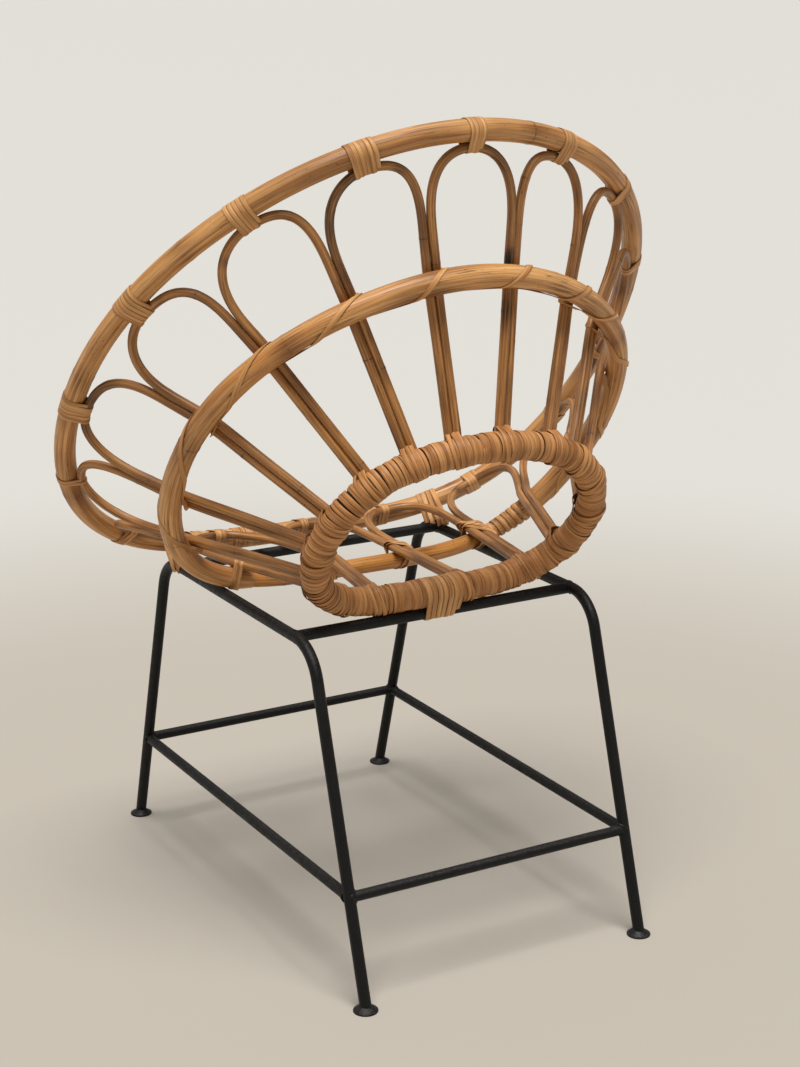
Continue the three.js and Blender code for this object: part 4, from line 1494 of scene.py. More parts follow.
@dataclass
class Poles:
    """The rim, the arch, the seat bow and the ring's core."""

    lines: ShellLines
    # Place of the rim's joint, under the fine winding
    rim_joint: float = 0.94
    # Girth of the arch's heel, and the share of its length over which it thins to that
    heel_girth: float = 0.86
    heel_taper: float = 0.012
    core_radius: float = 12.6 * MM
    samples: int = 900

    def round_share(self, start: float) -> np.ndarray:
        """Shares once round a closed pole from start."""
        return start + np.linspace(0.0, 2.0, self.samples, endpoint=False)

    def arch_girth(self, part: np.ndarray) -> np.ndarray:
        """Girth along the arch: thin at its scarfed tip on the right, blunt at its heel on the left.

        Args:
            part: Shares of its length, from the right.

        Returns:
            The girths, as shares of its radius.
        """
        lines = self.lines
        scarf = (lines.arch_right_end - lines.bow_right_end) / (lines.arch_right_end + lines.arch_left_end)
        tip = lines.scarf_radius(part / scarf) / lines.arch_radius
        heel = self.heel_girth + (1.0 - self.heel_girth) * smoothstep((1.0 - part) / self.heel_taper)
        return np.minimum(tip, heel)

    def bow_girth(self, part: np.ndarray) -> np.ndarray:
        """Girth along the bow, which thickens to the arch's in their scarf."""
        lines = self.lines
        length = 2.0 - lines.arch_left_end - lines.bow_right_end
        scarf = (lines.arch_right_end - lines.bow_right_end) / length
        return lines.scarf_radius(1.0 - (1.0 - part) / scarf) / lines.bow_radius

    def build(self) -> None:
        """Makes and dresses the poles."""
        lines = self.lines
        rng = draws(Seed.POLES)
        arch = np.linspace(-lines.arch_right_end, lines.arch_left_end, self.samples)
        bow = np.linspace(lines.arch_left_end, 2.0 - lines.bow_right_end, self.samples)
        for name, node, finish, cane, points, shape in (
            ("rim_cane", "rim_pole", POLE_FINISH,
             RoundCane(lines.rim_radius, sides=32, step=3.2 * MM, node_spacing=185 * MM),
             lines.rim.at(self.round_share(self.rim_joint)), {"closed": True}),
            ("arch_cane", "arch_pole", POLE_FINISH,
             RoundCane(lines.arch_radius, sides=32, step=3.2 * MM, node_spacing=148 * MM, swell=0.06),
             lines.hoop.at(arch), {"girth": self.arch_girth, "shave": partial(lines.shaved, above=True)}),
            ("seat_bow_cane", "seat_bow", BOW_FINISH,
             RoundCane(lines.bow_radius, sides=28, step=3 * MM, node_spacing=170 * MM),
             lines.hoop.at(bow), {"girth": self.bow_girth, "shave": partial(lines.shaved, above=False)}),
            # The ring's core is painted near black: painted shade between the covering's turns
            ("ring_core_cane", "ring_core", CORE_PAINTED_SHADE_FINISH,
             RoundCane(self.core_radius, sides=24, step=4 * MM, node_spacing=400 * MM),
             lines.ring.at(self.round_share(1.0)), {"closed": True}),
        ):
            hand_over(cane.build(name, points, rng, **shape), Slot.POLE, finish, node)


# The petals' own scorched and greyed stretches, as share of the length, half length and strength:
# a black one just above the arch, a whole leg gone dark, and a dark tip
BURNS = {
    "back": ((0.285, 13 * MM, 1.6), (0.3, 45 * MM, 0.5), (0.2, 20 * MM, 0.6)),
    "left_1": ((0.53, 22 * MM, 0.8), (0.6, 60 * MM, 0.75), (0.7, 40 * MM, 0.6)),
    "left_7": ((0.5, 16 * MM, 1.0),),
}


@dataclass
class Petals:
    """Sixteen looped canes from the ring over the arch to the rim and back."""

    lines: ShellLines
    plans: Sequence[PetalPlan]
    arc_steps: int = 16
    per_span: int = 8
    # Length of the canes' ends under the ring's covering
    buried: float = 13 * MM
    # Two slow waves in each cane, which fade out at its ends and this near its tip
    sway: float = 0.9 * MM
    wave_lengths: Span = (190 * MM, 260 * MM)
    wave_phase: float = 3.0
    still: float = 30 * MM
    # Scorched places on both sides of the tip: distance from it, half length and strength
    burn_away: Span = (12 * MM, 45 * MM)
    burn_half: Span = (5 * MM, 16 * MM)
    burn_strength: Span = (0.1, 0.75)

    def route(self, plan: PetalPlan) -> np.ndarray:
        """Centre line of a petal, from one end at the ring to the other.

        Args:
            plan: The petal.

        Returns:
            The line's points.
        """
        lines = self.lines
        one, other = plan.one, plan.other
        middle = (one.over + other.over) / 2
        tip_rim = lines.rim.at(plan.tip_share)
        down = lines.leaning(middle - tip_rim, lines.rim.way(plan.tip_share), one.inward + other.inward,
                             lines.tip_leans[plan.number])
        tip = tip_rim + down * (lines.rim_radius + lines.petal_radius + lines.gap)
        parting = lines.partings[min(plan.number, len(lines.partings) - 1)]

        def leg(pair: Pair, neighbour: Pair, shoulder: float) -> list[np.ndarray]:
            """One side of the petal, from the ring to just below the tip.

            Args:
                pair: The pair that it belongs to.
                neighbour: The pair of the petal's other side.
                shoulder: Fullness of its shoulder.

            Returns:
                The line's places.
            """
            towards = np.sign((neighbour.over - pair.over) @ pair.beside)
            shift = pair.beside * towards * (lines.petal_radius + lines.touch)

            def edge(v: float) -> np.ndarray:
                """Place on the pair's line, by share of the way from the arch to the rim."""
                return pair.over + (pair.aim - pair.over) * v + shift

            down_way = unit(pair.end - pair.over)
            points = [pair.end + shift + down_way * self.buried, pair.end + shift,
                      (pair.end + pair.over) / 2 + shift, edge(0.0), edge(parting / 2)]
            for i in range(self.arc_steps):
                a = math.pi / 2 * i / self.arc_steps
                v = parting + (1.0 - parting) * math.sin(a) ** shoulder
                centre = middle + (tip - middle) * v
                points.append(centre + (edge(v) - centre) * math.cos(a) ** shoulder)
            return points

        ends = plan.number in (0, len(lines.tip_shares) - 1)
        back = lines.middle_shoulder if ends else lines.back_shoulder
        front = lines.middle_shoulder if ends else lines.front_shoulder
        return spline([*leg(one, other, back), tip, *leg(other, one, front)[::-1]], self.per_span)

    def burns(self, plan: PetalPlan, length: float,
              rng: np.random.Generator) -> list[tuple[float, float, float]]:
        """Scorched places, where the cane was bent by heat near its tip.

        Args:
            plan: The petal.
            length: Its cane's length.
            rng: Source of their places.

        Returns:
            The places as length from the start, half length and strength.
        """
        marks = []
        for sign in (-1, 1):
            away, half, strength = (rng.uniform(*span) for span in
                                    (self.burn_away, self.burn_half, self.burn_strength))
            marks.append((length / 2 + sign * away, half, strength))
        for share, half, strength in BURNS.get(plan.name, ()):
            marks.append((length * share, half, strength))
        return marks

    def build(self) -> dict[str, np.ndarray]:
        """Makes and dresses the petals.

        Returns:
            Centre lines by petal name.
        """
        routes = {}
        cane = RoundCane(self.lines.petal_radius, sides=16, step=2.6 * MM, node_spacing=160 * MM,
                         node_ridge=0.22 * MM, node_half=1.8 * MM, swell=0.03)
        for plan in self.plans:
            rng = draws(Seed.PETALS, plan.number, plan.tip_share < 0)
            line = self.route(plan)
            s = run_lengths(line)
            # Six draws for two phases, so that the stem's swells stay as they are
            phases = self.wave_phase * rng.uniform(-1.0, 1.0, 6)
            wave = sum(
                np.sin(2 * np.pi * s / length + phase) for length, phase in zip(self.wave_lengths, phases)
            )
            fade = np.sin(np.pi * s / s[-1]) ** 2 * (1.0 - bell(s, s[-1] / 2, self.still))
            line = line + self.sway * np.outer(wave * fade, plan.one.inward)
            routes[plan.name] = line
            piece = cane.build(f"petal_cane_{plan.name}", line, rng, burns=self.burns(plan, s[-1], rng))
            hand_over(piece, Slot.PETAL, PETAL_FINISH, f"petal_{plan.name}")
        return routes


# Bindings


# Straps of each tie on the seat bow and the arch's heel, as distance in widths and slant
TIE_TURNS = {
    (Side.LEFT, "outer"): ((-0.5, 0.3), (0.45, 0.34)),
    (Side.LEFT, "inner"): ((-0.5, 0.35), (0.5, 0.35)),
    (Side.RIGHT, "outer"): ((-1.1, 0.12), (-0.1, 0.16), (0.6, 0.5), (-0.3, 0.6)),
    (Side.RIGHT, "inner"): ((-0.5, 0.35), (0.5, 0.42)),
}
# Straps of the corner ties, as distance in widths and slant in degrees
CORNER_TURNS = {
    Side.LEFT: ((-0.5, 85.0), (0.5, 88.0)),
    Side.RIGHT: ((0.2, -20.0), (1.25, -21.0), (2.3, -22.5), (3.35, -24.0)),
}
STRAP_CANE = Strip(5.6 * MM, 0.9 * MM)


@dataclass
class Bindings:
    """Windings and ties of flat cane."""

    lines: ShellLines
    stand: IronStand
    plans: Sequence[PetalPlan]
    routes: dict[str, np.ndarray]
    tip_wrap: Wrap = Wrap(Strip(4.6 * MM, 0.8 * MM), 4.5 * MM, looseness=0.25 * MM, lean=0.06)
    joint_wrap: Wrap = Wrap(Strip(2.6 * MM, 0.6 * MM), 2.912 * MM, looseness=0.1 * MM)
    lap_wrap: Wrap = Wrap(STRAP_CANE, 7.56 * MM, looseness=0.3 * MM)
    rail_wrap: Wrap = Wrap(STRAP_CANE, 6.048 * MM, looseness=0.6 * MM, lean=0.1)
    ring_wrap: Wrap = Wrap(
        Strip(4.9 * MM, 1.0 * MM), 3.9 * MM, uneven=0.5, looseness=1.3 * MM, lean=0.24, steps=30
    )
    seat: float = 0.15 * MM
    # Each strap of a tie lies this much over the one before
    layer: float = 0.4 * MM
    # Points of a winding's outline
    outline: int = 44
    # Petals' places beyond this many lengths of a tip's winding do not lie under it
    tip_window: int = 3
    # Half lengths of the tracks under the windings, as shares, and their points
    tip_reach: float = 0.06
    lap_reach: float = 0.08
    joint_reach: float = 0.12
    half_track: int = 150
    # Fineness of a petal's line where straps and windings lie over it
    fine_step: float = 1 * MM
    # The arch's lashing: the pairs that it ties on each side, the parts of the arch at its ends that
    # its track leaves out, its track's points, those of its sleeve's outline and of each round
    lash_pairs: int = 6
    lash_margin: float = 0.01
    lash_samples: int = 1200
    lash_outline: int = 72
    lash_steps: int = 76
    # Stations of its sleeve at a pair, the share of them where it lies over the canes, and how far
    # its bends are softened
    lash_stations: int = 9
    lash_over: float = 0.9
    lash_soften: int = 9
    # It passes a pair of canes this far on either side, and sets out from one a little nearer
    pass_by: float = 11 * MM
    set_out: float = 0.8
    # Least way between its run over the outer face and the next pair
    outer_margin: float = 4.6 * MM
    # Parts of its round at which it is on the outer face, comes to the next pair and leaves it
    outer_part: float = 0.5
    come_part: float = 0.62
    leave_part: float = 0.9
    # Way along the arch of the lashing's run over the outer face, from the pairs on the right
    # round to those on the left, where it runs almost with the pole
    outer_runs: tuple[float, ...] = in_mm(42, 42, 42, 38, 34, 32, 34, 56, 66, 70, 60)
    cane_reach: float = 6 * MM
    # The corner ties: where on the rim they are, how far behind the crossing the left one hangs,
    # and how near canes are caught in
    corner_shares: Span = (0.6, 1.0)
    corner_samples: int = 500
    corner_step: float = 2 * MM
    corner_behind: float = 14 * MM
    corner_catch: float = 30 * MM
    # The ring's covering: its radius, how far its track goes on at both ends, and its points
    cover_radius: float = 13.2 * MM
    cover_past: float = 0.02
    cover_samples: int = 800
    cover_outline: int = 36
    # The loops over the canes' ends: slants, spacing in widths, and layer of each on the one before
    loop_leans: tuple[float, ...] = (0.3, 0.2, 0.38)
    loop_uneven: float = 0.05
    loop_spacing: float = 0.9
    loop_layer: float = 0.35 * MM
    # The loops pass over the canes this far below the top of the covering
    loop_depth: float = 2.5 * MM
    # Places and turns of the two fine windings on the rim's joint
    joint_places: dict[Seed, tuple[str, float, int]] = field(default_factory=lambda: {
        Seed.JOINT_FRONT: ("front", 0.936, 17),
        Seed.JOINT_SIDE: ("side", 0.866, 5),
    })
    lap_turns: int = 7
    rail_turns: int = 7

    @property
    def ring_hull(self) -> float:
        """Radius round the ring's covering."""
        return self.cover_radius + self.ring_wrap.looseness

    def track(self, curve: Callable[[np.ndarray], np.ndarray], share: float, reach: float,
              towards: np.ndarray) -> tuple[Track, float]:
        """Track of a pole round a share, and the length along it at that share.

        Args:
            curve: The pole's points by share.
            share: The share.
            reach: How far the track goes on to each side, as a share.
            towards: Where its right side faces.

        Returns:
            The track and the length.
        """
        shares = np.linspace(share - reach, share + reach, 2 * self.half_track + 1)
        track = Track.along(curve(shares), towards)
        return track, track.lengths[self.half_track]

    def tip(self, plan: PetalPlan) -> None:
        """Winding that binds a petal's tip to the rim.

        Args:
            plan: The petal.
        """
        rng = draws(Seed.TIPS, plan.number, plan.tip_share < 0)
        lines = self.lines
        route = self.routes[plan.name]
        tip = resample(route, np.array([run_lengths(route)[-1] / 2]))[0]
        centre = lines.rim.at(plan.tip_share)
        track, home = self.track(lines.rim.at, plan.tip_share, self.tip_reach, tip - centre)
        # One turn more than is seen, since the ends go under
        pitches = self.tip_wrap.pitches(plan.tip_turns + 1, rng)
        pitch, length = self.tip_wrap.pitch, pitches.sum()
        near = evenly(route, self.fine_step)
        near = near[np.linalg.norm(near - tip, axis=1) < self.tip_window * length]
        past = length / 2 + pitch
        stations = np.linspace(home - past, home + past, 2 * len(pitches) + 3)
        shapes = []
        for s in stations:
            origin, right, up = (value[0] for value in track.at(np.array([s])))
            away = near - origin
            close = away[np.abs(away @ np.cross(right, up)) < pitch / 3]
            ovals = [Oval.disc(0.0, 0.0, lines.rim_radius)]
            # Four of the cane's places are enough for its outline
            for spot in close[:: max(1, len(close) // 4)]:
                ovals.append(Oval.disc(spot @ right, spot @ up, lines.petal_radius))
            shapes.append(ovals)
        sleeve = Sleeve.over(stations, shapes, self.seat, self.outline)
        piece = self.tip_wrap.wind(f"tip_winding_{plan.name}", track, home - length / 2, pitches, sleeve, rng)
        hand_over(piece, Slot.BINDING, BINDING_FINISH, f"binding_{plan.name}")

    def near_ovals(self, plane: Plane, centre: np.ndarray, reach: float) -> list[Oval]:
        """Sections of the petals' canes that cross a strap's plane near a place.

        Args:
            plane: The strap's plane.
            centre: The place.
            reach: How near.

        Returns:
            The sections.
        """
        ovals = []
        for route in self.routes.values():
            fine = evenly(route, self.fine_step)
            ways = unit(np.gradient(fine, axis=0))
            side = (fine - plane.origin) @ plane.across
            for i in np.nonzero(side[:-1] * side[1:] <= 0)[0]:
                if np.linalg.norm(fine[i] - centre) < reach:
                    ovals.append(Oval.cut(fine[i], ways[i], self.lines.petal_radius, plane))
        return ovals

    def strapped(self, name: str, turns: Sequence[tuple[Plane, Sequence[Oval]]],
                 rng: np.random.Generator) -> bpy.types.Object:
        """Straps of a tie, each over the ones before, joined.

        Args:
            name: Name of the piece.
            turns: Plane of each strap, and what it goes round.
            rng: Source of the straps' grain.

        Returns:
            The straps.
        """
        made = [
            strap(f"turn_{k}", plane, ovals, STRAP_CANE, rng, self.seat + k * self.layer)
            for k, (plane, ovals) in enumerate(turns)
        ]
        return join(name, made)

    def cross_straps(self, name: str, pair: Pair, turns: Sequence[tuple[float, float]],
                     rng: np.random.Generator) -> bpy.types.Object:
        """Straps round a pole and the two canes that cross it.

        Args:
            name: Name of the piece.
            pair: The canes.
            turns: For each strap its distance from the crossing in widths, and its slant: 0 is square
                to the pole, 1 square to the canes.
            rng: Source of the straps' grain.

        Returns:
            The straps, joined.
        """
        right = unit(pair.over - pair.support)
        pole = square(pair.pole_way, right)
        cane = square(pair.cane_way, right)
        if pole @ cane < 0:
            cane = -cane
        radius = self.lines.petal_radius
        apart = pair.beside * (radius + self.lines.touch)
        made = []
        for spread, slant in turns:
            across = unit(pole * (1.0 - slant) + cane * slant)
            plane = Plane(pair.support, right, across).moved(spread * STRAP_CANE.width)
            made.append((plane, [
                Oval.cut(pair.support, pair.pole_way, pair.support_radius, plane),
                Oval.cut(pair.over + apart, pair.cane_way, radius, plane),
                Oval.cut(pair.over - apart, pair.cane_way, radius, plane),
            ]))
        return self.strapped(name, made, rng)

    def lashing_sleeve(self, crossings: Sequence[float]) -> Sleeve:
        """The arch, and at each crossing the pair of canes on it.

        Args:
            crossings: Lengths along the arch at which canes cross it.

        Returns:
            The sleeve.
        """
        lines = self.lines
        pole = Oval.disc(0.0, 0.0, lines.arch_radius)
        high = lines.arch_radius + lines.petal_radius + lines.loose_gap
        canes = [
            Oval.disc(reach, high, lines.petal_radius) for reach in (-self.cane_reach, 0.0, self.cane_reach)
        ]
        stations = [0.0]
        shapes = [[pole]]
        for s in crossings:
            for step in np.linspace(-1.0, 1.0, self.lash_stations):
                stations.append(s + step * self.pass_by)
                shapes.append([pole, *canes] if abs(step) < self.lash_over else [pole])
        return Sleeve.over(stations, shapes, self.seat, self.lash_outline)

    def arch_lashing(self, pairs: dict[Side, list[Pair]]) -> None:
        """One long cane led round the arch from pair to pair, a turn for each pair of canes.

        Args:
            pairs: The pairs of canes of both sides.
        """
        lines = self.lines
        shares = np.linspace(
            self.lash_margin - lines.arch_right_end, lines.arch_left_end - self.lash_margin, self.lash_samples
        )
        track = Track.along(lines.hoop.at(shares), lines.rim.at(shares) - lines.hoop.at(shares))
        tied = [*pairs[Side.RIGHT][: self.lash_pairs][::-1], *pairs[Side.LEFT][: self.lash_pairs]]
        crossings = [
            track.lengths[np.linalg.norm(track.points - pair.support, axis=1).argmin()] for pair in tied
        ]
        part, led = [], []
        for k, (here, there) in enumerate(zip(crossings, crossings[1:])):
            part += [k, k + self.outer_part, k + self.come_part, k + self.leave_part]
            led += [
                here - self.pass_by * self.set_out,
                min(here + self.outer_runs[k], there - self.outer_margin),
                there + self.pass_by,
                there - self.pass_by,
            ]
        last = len(crossings) - 1
        part.append(last)
        led.append(crossings[-1] - self.pass_by * self.set_out)
        rounds = np.linspace(0.0, last, self.lash_steps * last)
        soft = np.hanning(self.lash_soften)
        padded = np.pad(np.interp(rounds, part, led), self.lash_soften // 2, mode="edge")
        along = np.convolve(padded, soft / soft.sum(), mode="valid")
        sleeve = self.lashing_sleeve(crossings)
        piece = lash("arch_lashing", track, along, -rounds, sleeve, STRAP_CANE, draws(Seed.LASHING))
        hand_over(piece, Slot.BINDING, LASHING_FINISH)

    def build(self, pairs: dict[Side, list[Pair]]) -> None:
        """Makes and dresses all windings and ties.

        Args:
            pairs: The pairs of canes of both sides.
        """
        for plan in self.plans:
            self.tip(plan)
        self.arch_lashing(pairs)
        for side in Side:
            rng = draws(Seed.TIES, right=side is Side.RIGHT)
            for place, pair in (("outer", pairs[side][-2]), ("inner", pairs[side][-1])):
                straps = self.cross_straps(f"cane_tie_{side.word}_{place}", pair, TIE_TURNS[side, place], rng)
                hand_over(straps, Slot.BINDING, BINDING_FINISH, f"seat_tie_{side.word}_{place}")
            self.corner(side)
            self.ring_loops(side, pairs[side])
        for seed, place in self.joint_places.items():
            self.joint(seed, *place)
        self.lap()
        self.rail()
        for side in Side:
            self.ring_cover(side)

    def corner(self, side: Side) -> None:
        """Tie of the rim to a front corner of the stand, wide on the right.

        Args:
            side: Which corner.
        """
        rod = evenly(self.stand.side_points(side), self.corner_step)
        shares = side.value * np.linspace(*self.corner_shares, self.corner_samples)
        rim = self.lines.rim.at(shares)
        distance = np.linalg.norm(rim[:, None] - rod[None], axis=2)
        i, j = np.unravel_index(distance.argmin(), distance.shape)
        if side is Side.LEFT:
            j += round(self.corner_behind / np.linalg.norm(rod[1] - rod[0]))
        rod_way = unit(rod[j + 1] - rod[j - 1])
        way = self.lines.rim.way(shares[i])
        if way @ rod_way < 0:
            way = -way
        right = unit(rim[i] - rod[j])
        across = unit(square(rod_way, right) + square(way, right))
        made = []
        for spread, slant in CORNER_TURNS[side]:
            turn = math.radians(slant)
            leaned = across * math.cos(turn) + np.cross(across, right) * math.sin(turn)
            plane = Plane(rod[j], right, leaned).moved(spread * STRAP_CANE.width)
            ovals = [
                Oval.cut(rod[j], rod_way, self.stand.rod_radius, plane),
                Oval.cut(rim[i], way, self.lines.rim_radius, plane),
            ]
            if side is Side.RIGHT:
                ovals += self.near_ovals(plane, rim[i], self.corner_catch)
            made.append((plane, ovals))
        rng = draws(Seed.CORNERS, right=side is Side.RIGHT)
        straps = self.strapped(f"corner_strap_{side.word}", made, rng)
        hand_over(straps, Slot.BINDING, BINDING_FINISH, f"corner_tie_{side.word}")

    def ring_loops(self, side: Side, pairs: Sequence[Pair]) -> None:
        """Loops of the ring's cane over the ends of each pair of canes.

        Args:
            side: The side.
            pairs: Its pairs of canes.
        """
        lines = self.lines
        radius = lines.petal_radius
        strip = self.ring_wrap.strip
        for number, pair in enumerate(pairs):
            rng = draws(Seed.LOOPS, number, side is Side.RIGHT)
            centre = lines.ring.at(pair.ring_share)
            ring_way = lines.ring.way(pair.ring_share)
            cane_way = unit(pair.over - pair.end)
            right = square(pair.end - centre, ring_way)
            made = []
            for k, lean in enumerate(self.loop_leans):
                slant = lean + rng.uniform(-self.loop_uneven, self.loop_uneven)
                across = unit(ring_way + slant * np.cross(ring_way, right))
                plane = Plane(centre, square(right, across), across)
                plane = plane.moved((k - 1) * self.loop_spacing * strip.width)
                ovals = [Oval.cut(centre, ring_way, self.ring_hull, plane)]
                for sign in (-1, 1):
                    spot = pair.end + pair.beside * sign * (radius + lines.touch) - cane_way * self.loop_depth
                    ovals.append(Oval.disc(*plane.flat(spot), radius))
                made.append(strap(f"turn_{k}", plane, ovals, strip, rng, self.seat + k * self.loop_layer))
            hand_over(join(f"ring_loop_{side.word}_{number}", made), Slot.BINDING, RING_FINISH)

    def joint(self, seed: Seed, name: str, share: float, turns: int) -> None:
        """Fine winding over the rim's joint.

        Args:
            seed: Start of its random draws.
            name: Its name.
            share: Its place on the rim.
            turns: Number of its turns.
        """
        rng = draws(seed)
        track, home = self.track(self.lines.rim.at, share, self.joint_reach, UP)
        pitches = self.joint_wrap.pitches(turns, rng)
        pole = [Oval.disc(0.0, 0.0, self.lines.rim_radius)]
        sleeve = Sleeve.over([home], [pole], self.seat, self.outline)
        start = home - pitches.sum() / 2
        piece = self.joint_wrap.wind(f"scarf_winding_{name}", track, start, pitches, sleeve, rng)
        hand_over(piece, Slot.BINDING, BINDING_FINISH, f"rim_winding_{name}")

    def lap(self) -> None:
        """Winding of the scarf joint of the arch and the seat bow."""
        rng = draws(Seed.LAP)
        lines = self.lines
        share = -(lines.arch_right_end + lines.bow_right_end) / 2
        track, home = self.track(lines.hoop.at, share, self.lap_reach, UP)
        pitches = self.lap_wrap.pitches(self.lap_turns, rng)
        half = pitches.sum() / 2
        ends = [[Oval.disc(0.0, 0.0, radius)] for radius in (lines.bow_radius, lines.arch_radius)]
        sleeve = Sleeve.over([home - half, home + half], ends, self.seat, self.outline)
        piece = self.lap_wrap.wind("lap_strapping", track, home - half, pitches, sleeve, rng)
        hand_over(piece, Slot.BINDING, BINDING_FINISH, "lap_winding")

    def rail(self) -> None:
        """Winding that ties the ring to the rear rail."""
        rng = draws(Seed.RAIL)
        ring = self.lines.ring
        track, home = self.track(ring.at, 1.0, self.joint_reach, -UP)
        drop = ring.front_height - self.stand.rail_height
        ovals = [Oval.disc(0.0, 0.0, self.ring_hull), Oval.disc(drop, 0.0, self.stand.rod_radius)]
        pitches = self.rail_wrap.pitches(self.rail_turns, rng)
        sleeve = Sleeve.over([home], [ovals], self.seat, self.outline, by_turn=False)
        start = home - pitches.sum() / 2
        piece = self.rail_wrap.wind("rail_strapping", track, start, pitches, sleeve, rng)
        hand_over(piece, Slot.BINDING, BINDING_FINISH, "rail_tie")

    def ring_cover(self, side: Side) -> None:
        """Close covering of one half of the ring, wound turn by turn.

        Args:
            side: Which half.
        """
        rng = draws(Seed.RING, right=side is Side.RIGHT)
        ring = self.lines.ring
        shares = np.linspace(-self.cover_past, 1.0 + self.cover_past, self.cover_samples)
        points = ring.at(side.value * shares)
        track = Track.along(points, points - (ring.at(0.0) + ring.at(1.0)) / 2)
        length = track.lengths[-1]
        pitches = self.ring_wrap.pitches(int(length / self.ring_wrap.pitch), rng)
        pitches *= length / pitches.sum()
        sleeve = Sleeve.over([0.0], [[Oval.disc(0.0, 0.0, self.cover_radius)]], 0.0, self.cover_outline)
        piece = self.ring_wrap.wind(f"ring_cover_{side.word}", track, 0.0, pitches, sleeve, rng)
        hand_over(piece, Slot.BINDING, RING_FINISH, f"ring_winding_{side.word}")


# Studio


def bearing(turn: float, rise: float) -> np.ndarray:
    """Direction away from the chair; a turn of 0 is in front, of a right angle at the sitter's left."""
    return np.array([math.sin(turn) * math.cos(rise), -math.cos(turn) * math.cos(rise), math.sin(rise)])


@dataclass(frozen=True)
class Lamp:
    """Far soft lamp, in degrees: where it stands, and how wide it looks."""

    name: str
    azimuth: float
    height: float
    softness: float
    # Light on a face square to the lamp
    strength: float


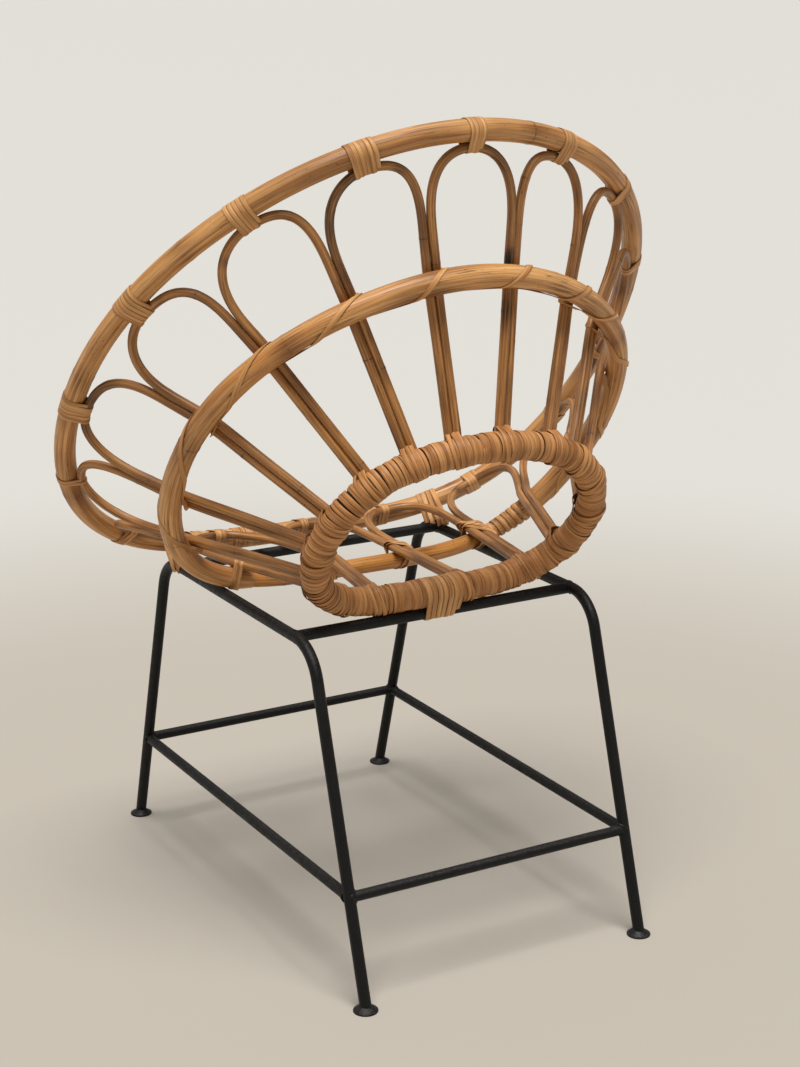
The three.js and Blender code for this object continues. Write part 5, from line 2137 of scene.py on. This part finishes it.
@dataclass
class Studio:
    """Pale floor, soft light and the camera of the photograph."""

    eye: tuple[float, float, float] = (1.0498, 1.8969, 1.0082)
    yaw: float = math.radians(150.23)
    pitch: float = math.radians(15.83)
    roll: float = math.radians(-0.13)
    lens: float = 70.7
    sensor: float = 36.0
    floor_radius: float = 90.0
    # The floor pales from the chair outwards, until it meets the backdrop's tone
    floor_near: str = "b4ac9f"
    floor_far: str = "cbc8c1"
    floor_blend: Span = (0.7, 1.9)
    floor_roughness: float = 0.9
    floor_sides: int = 96
    backdrop: str = "e3dfd8"
    sky: str = "ffffff"
    sky_light: float = 0.2
    lamps: tuple[Lamp, ...] = (Lamp("window_light", 155, 75, 35, 3.4), Lamp("fill_light", 20, 40, 90, 0.3))

    def camera(self) -> None:
        """Camera at the photograph's viewpoint."""
        back = bearing(self.yaw, self.pitch)
        right = unit(np.cross(UP, back))
        up = np.cross(back, right)
        c, s = math.cos(self.roll), math.sin(self.roll)
        right, up = c * right + s * up, -s * right + c * up
        data = bpy.data.cameras.new("camera")
        data.lens = self.lens
        data.sensor_width = self.sensor
        data.sensor_fit = "AUTO"
        camera = bpy.data.objects.new("camera", data)
        bpy.context.scene.collection.objects.link(camera)
        camera.matrix_world = Matrix([*zip(right, up, back, self.eye), (0, 0, 0, 1)])
        bpy.context.scene.camera = camera

    def floor(self) -> None:
        """Round pale floor."""
        deselect()
        bpy.ops.mesh.primitive_circle_add(
            vertices=self.floor_sides, radius=self.floor_radius, fill_type="NGON"
        )
        floor = settle(bpy.context.object, "floor")
        material = bpy.data.materials.new("pale_floor")
        tree = Tree(material)
        tree.add("place", "TexCoord", out="Object")
        tree.add("reach", "VectorMath", {"operation": "LENGTH"}, {0: "place"}, "Value")
        near, far = self.floor_blend
        settings = {"interpolation_type": "SMOOTHSTEP", "From Min": near, "From Max": far}
        tree.add("paling", "MapRange", settings, {"Value": "reach"})
        settings = {**COLOURS, MIX_A: linear(self.floor_near), MIX_B: linear(self.floor_far)}
        tree.add("colour", "Mix", settings, {0: "paling"}, MIX_RESULT)
        tree.add("shader", "BsdfPrincipled", {"Roughness": self.floor_roughness}, {"Base Color": "colour"})
        tree.add("output", "OutputMaterial", None, {"Surface": "shader"})
        tree.link()
        floor.data.materials.append(material)

    def lamp(self, lamp: Lamp) -> None:
        """Adds a lamp."""
        data = bpy.data.lights.new(lamp.name, "SUN")
        data.angle = math.radians(lamp.softness)
        data.energy = lamp.strength
        placed = bpy.data.objects.new(lamp.name, data)
        back = Vector(bearing(math.radians(lamp.azimuth), math.radians(lamp.height)))
        placed.rotation_euler = (-back).to_track_quat("-Z", "Y").to_euler()
        bpy.context.scene.collection.objects.link(placed)

    def world(self) -> None:
        """Soft light all round, and a pale backdrop where the camera sees it."""
        world = bpy.data.worlds.new("studio")
        tree = Tree(world)
        tree.add("direct", "LightPath", out="Is Camera Ray")
        tree.add("through glass", "LightPath", out="Is Transmission Ray")
        tree.add("seen", "Math", {"operation": "MAXIMUM"}, {0: "direct", 1: "through glass"})
        tree.add("soft", "Background", {"Color": linear(self.sky), "Strength": self.sky_light})
        tree.add("pale", "Background", {"Color": linear(self.backdrop), "Strength": 1.0})
        tree.add("mixed", "MixShader", None, {0: "seen", 1: "soft", 2: "pale"})
        tree.add("output", "OutputWorld", None, {"Surface": "mixed"})
        tree.link()
        bpy.context.scene.world = world

    def build(self) -> None:
        """Sets the stage."""
        self.camera()
        self.floor()
        self.world()
        for lamp in self.lamps:
            self.lamp(lamp)
        bpy.context.scene.view_settings.view_transform = "Standard"


def plan_petals(lines: ShellLines, pairs: dict[Side, list[Pair]]) -> list[PetalPlan]:
    """Lists the sixteen petals with the pairs of canes that they share.

    Args:
        lines: The shell's lines.
        pairs: The pairs of canes, from the back to the front.

    Returns:
        The petals: the back one, those of each side, the front one.
    """
    left, right = pairs[Side.LEFT], pairs[Side.RIGHT]
    turns = lines.tip_turns
    last = len(lines.tip_shares) - 1
    plans = [PetalPlan("back", 0, 0.0, right[0], left[0], turns[Side.LEFT][0])]
    for side in Side:
        for n in range(1, last):
            share = side.value * lines.tip_shares[n]
            one, other = pairs[side][n - 1], pairs[side][n]
            plans.append(PetalPlan(f"{side.word}_{n}", n, share, one, other, turns[side][n]))
    plans.append(PetalPlan("front", last, 1.0, left[last - 1], right[last - 1], turns[Side.LEFT][last]))
    return plans


def main() -> None:
    """Builds the chair's pieces in order, then the studio."""
    logging.basicConfig(level=logging.INFO, format="%(message)s")
    lines = ShellLines()
    pairs = {side: [lines.pair(n, side) for n in range(len(lines.tip_shares) - 1)] for side in Side}
    plans = plan_petals(lines, pairs)
    stand = IronStand()
    stand.build()
    Poles(lines).build()
    routes = Petals(lines, plans).build()
    Bindings(lines, stand, plans, routes).build(pairs)
    Studio().build()


if __name__ == "__main__":
    main()
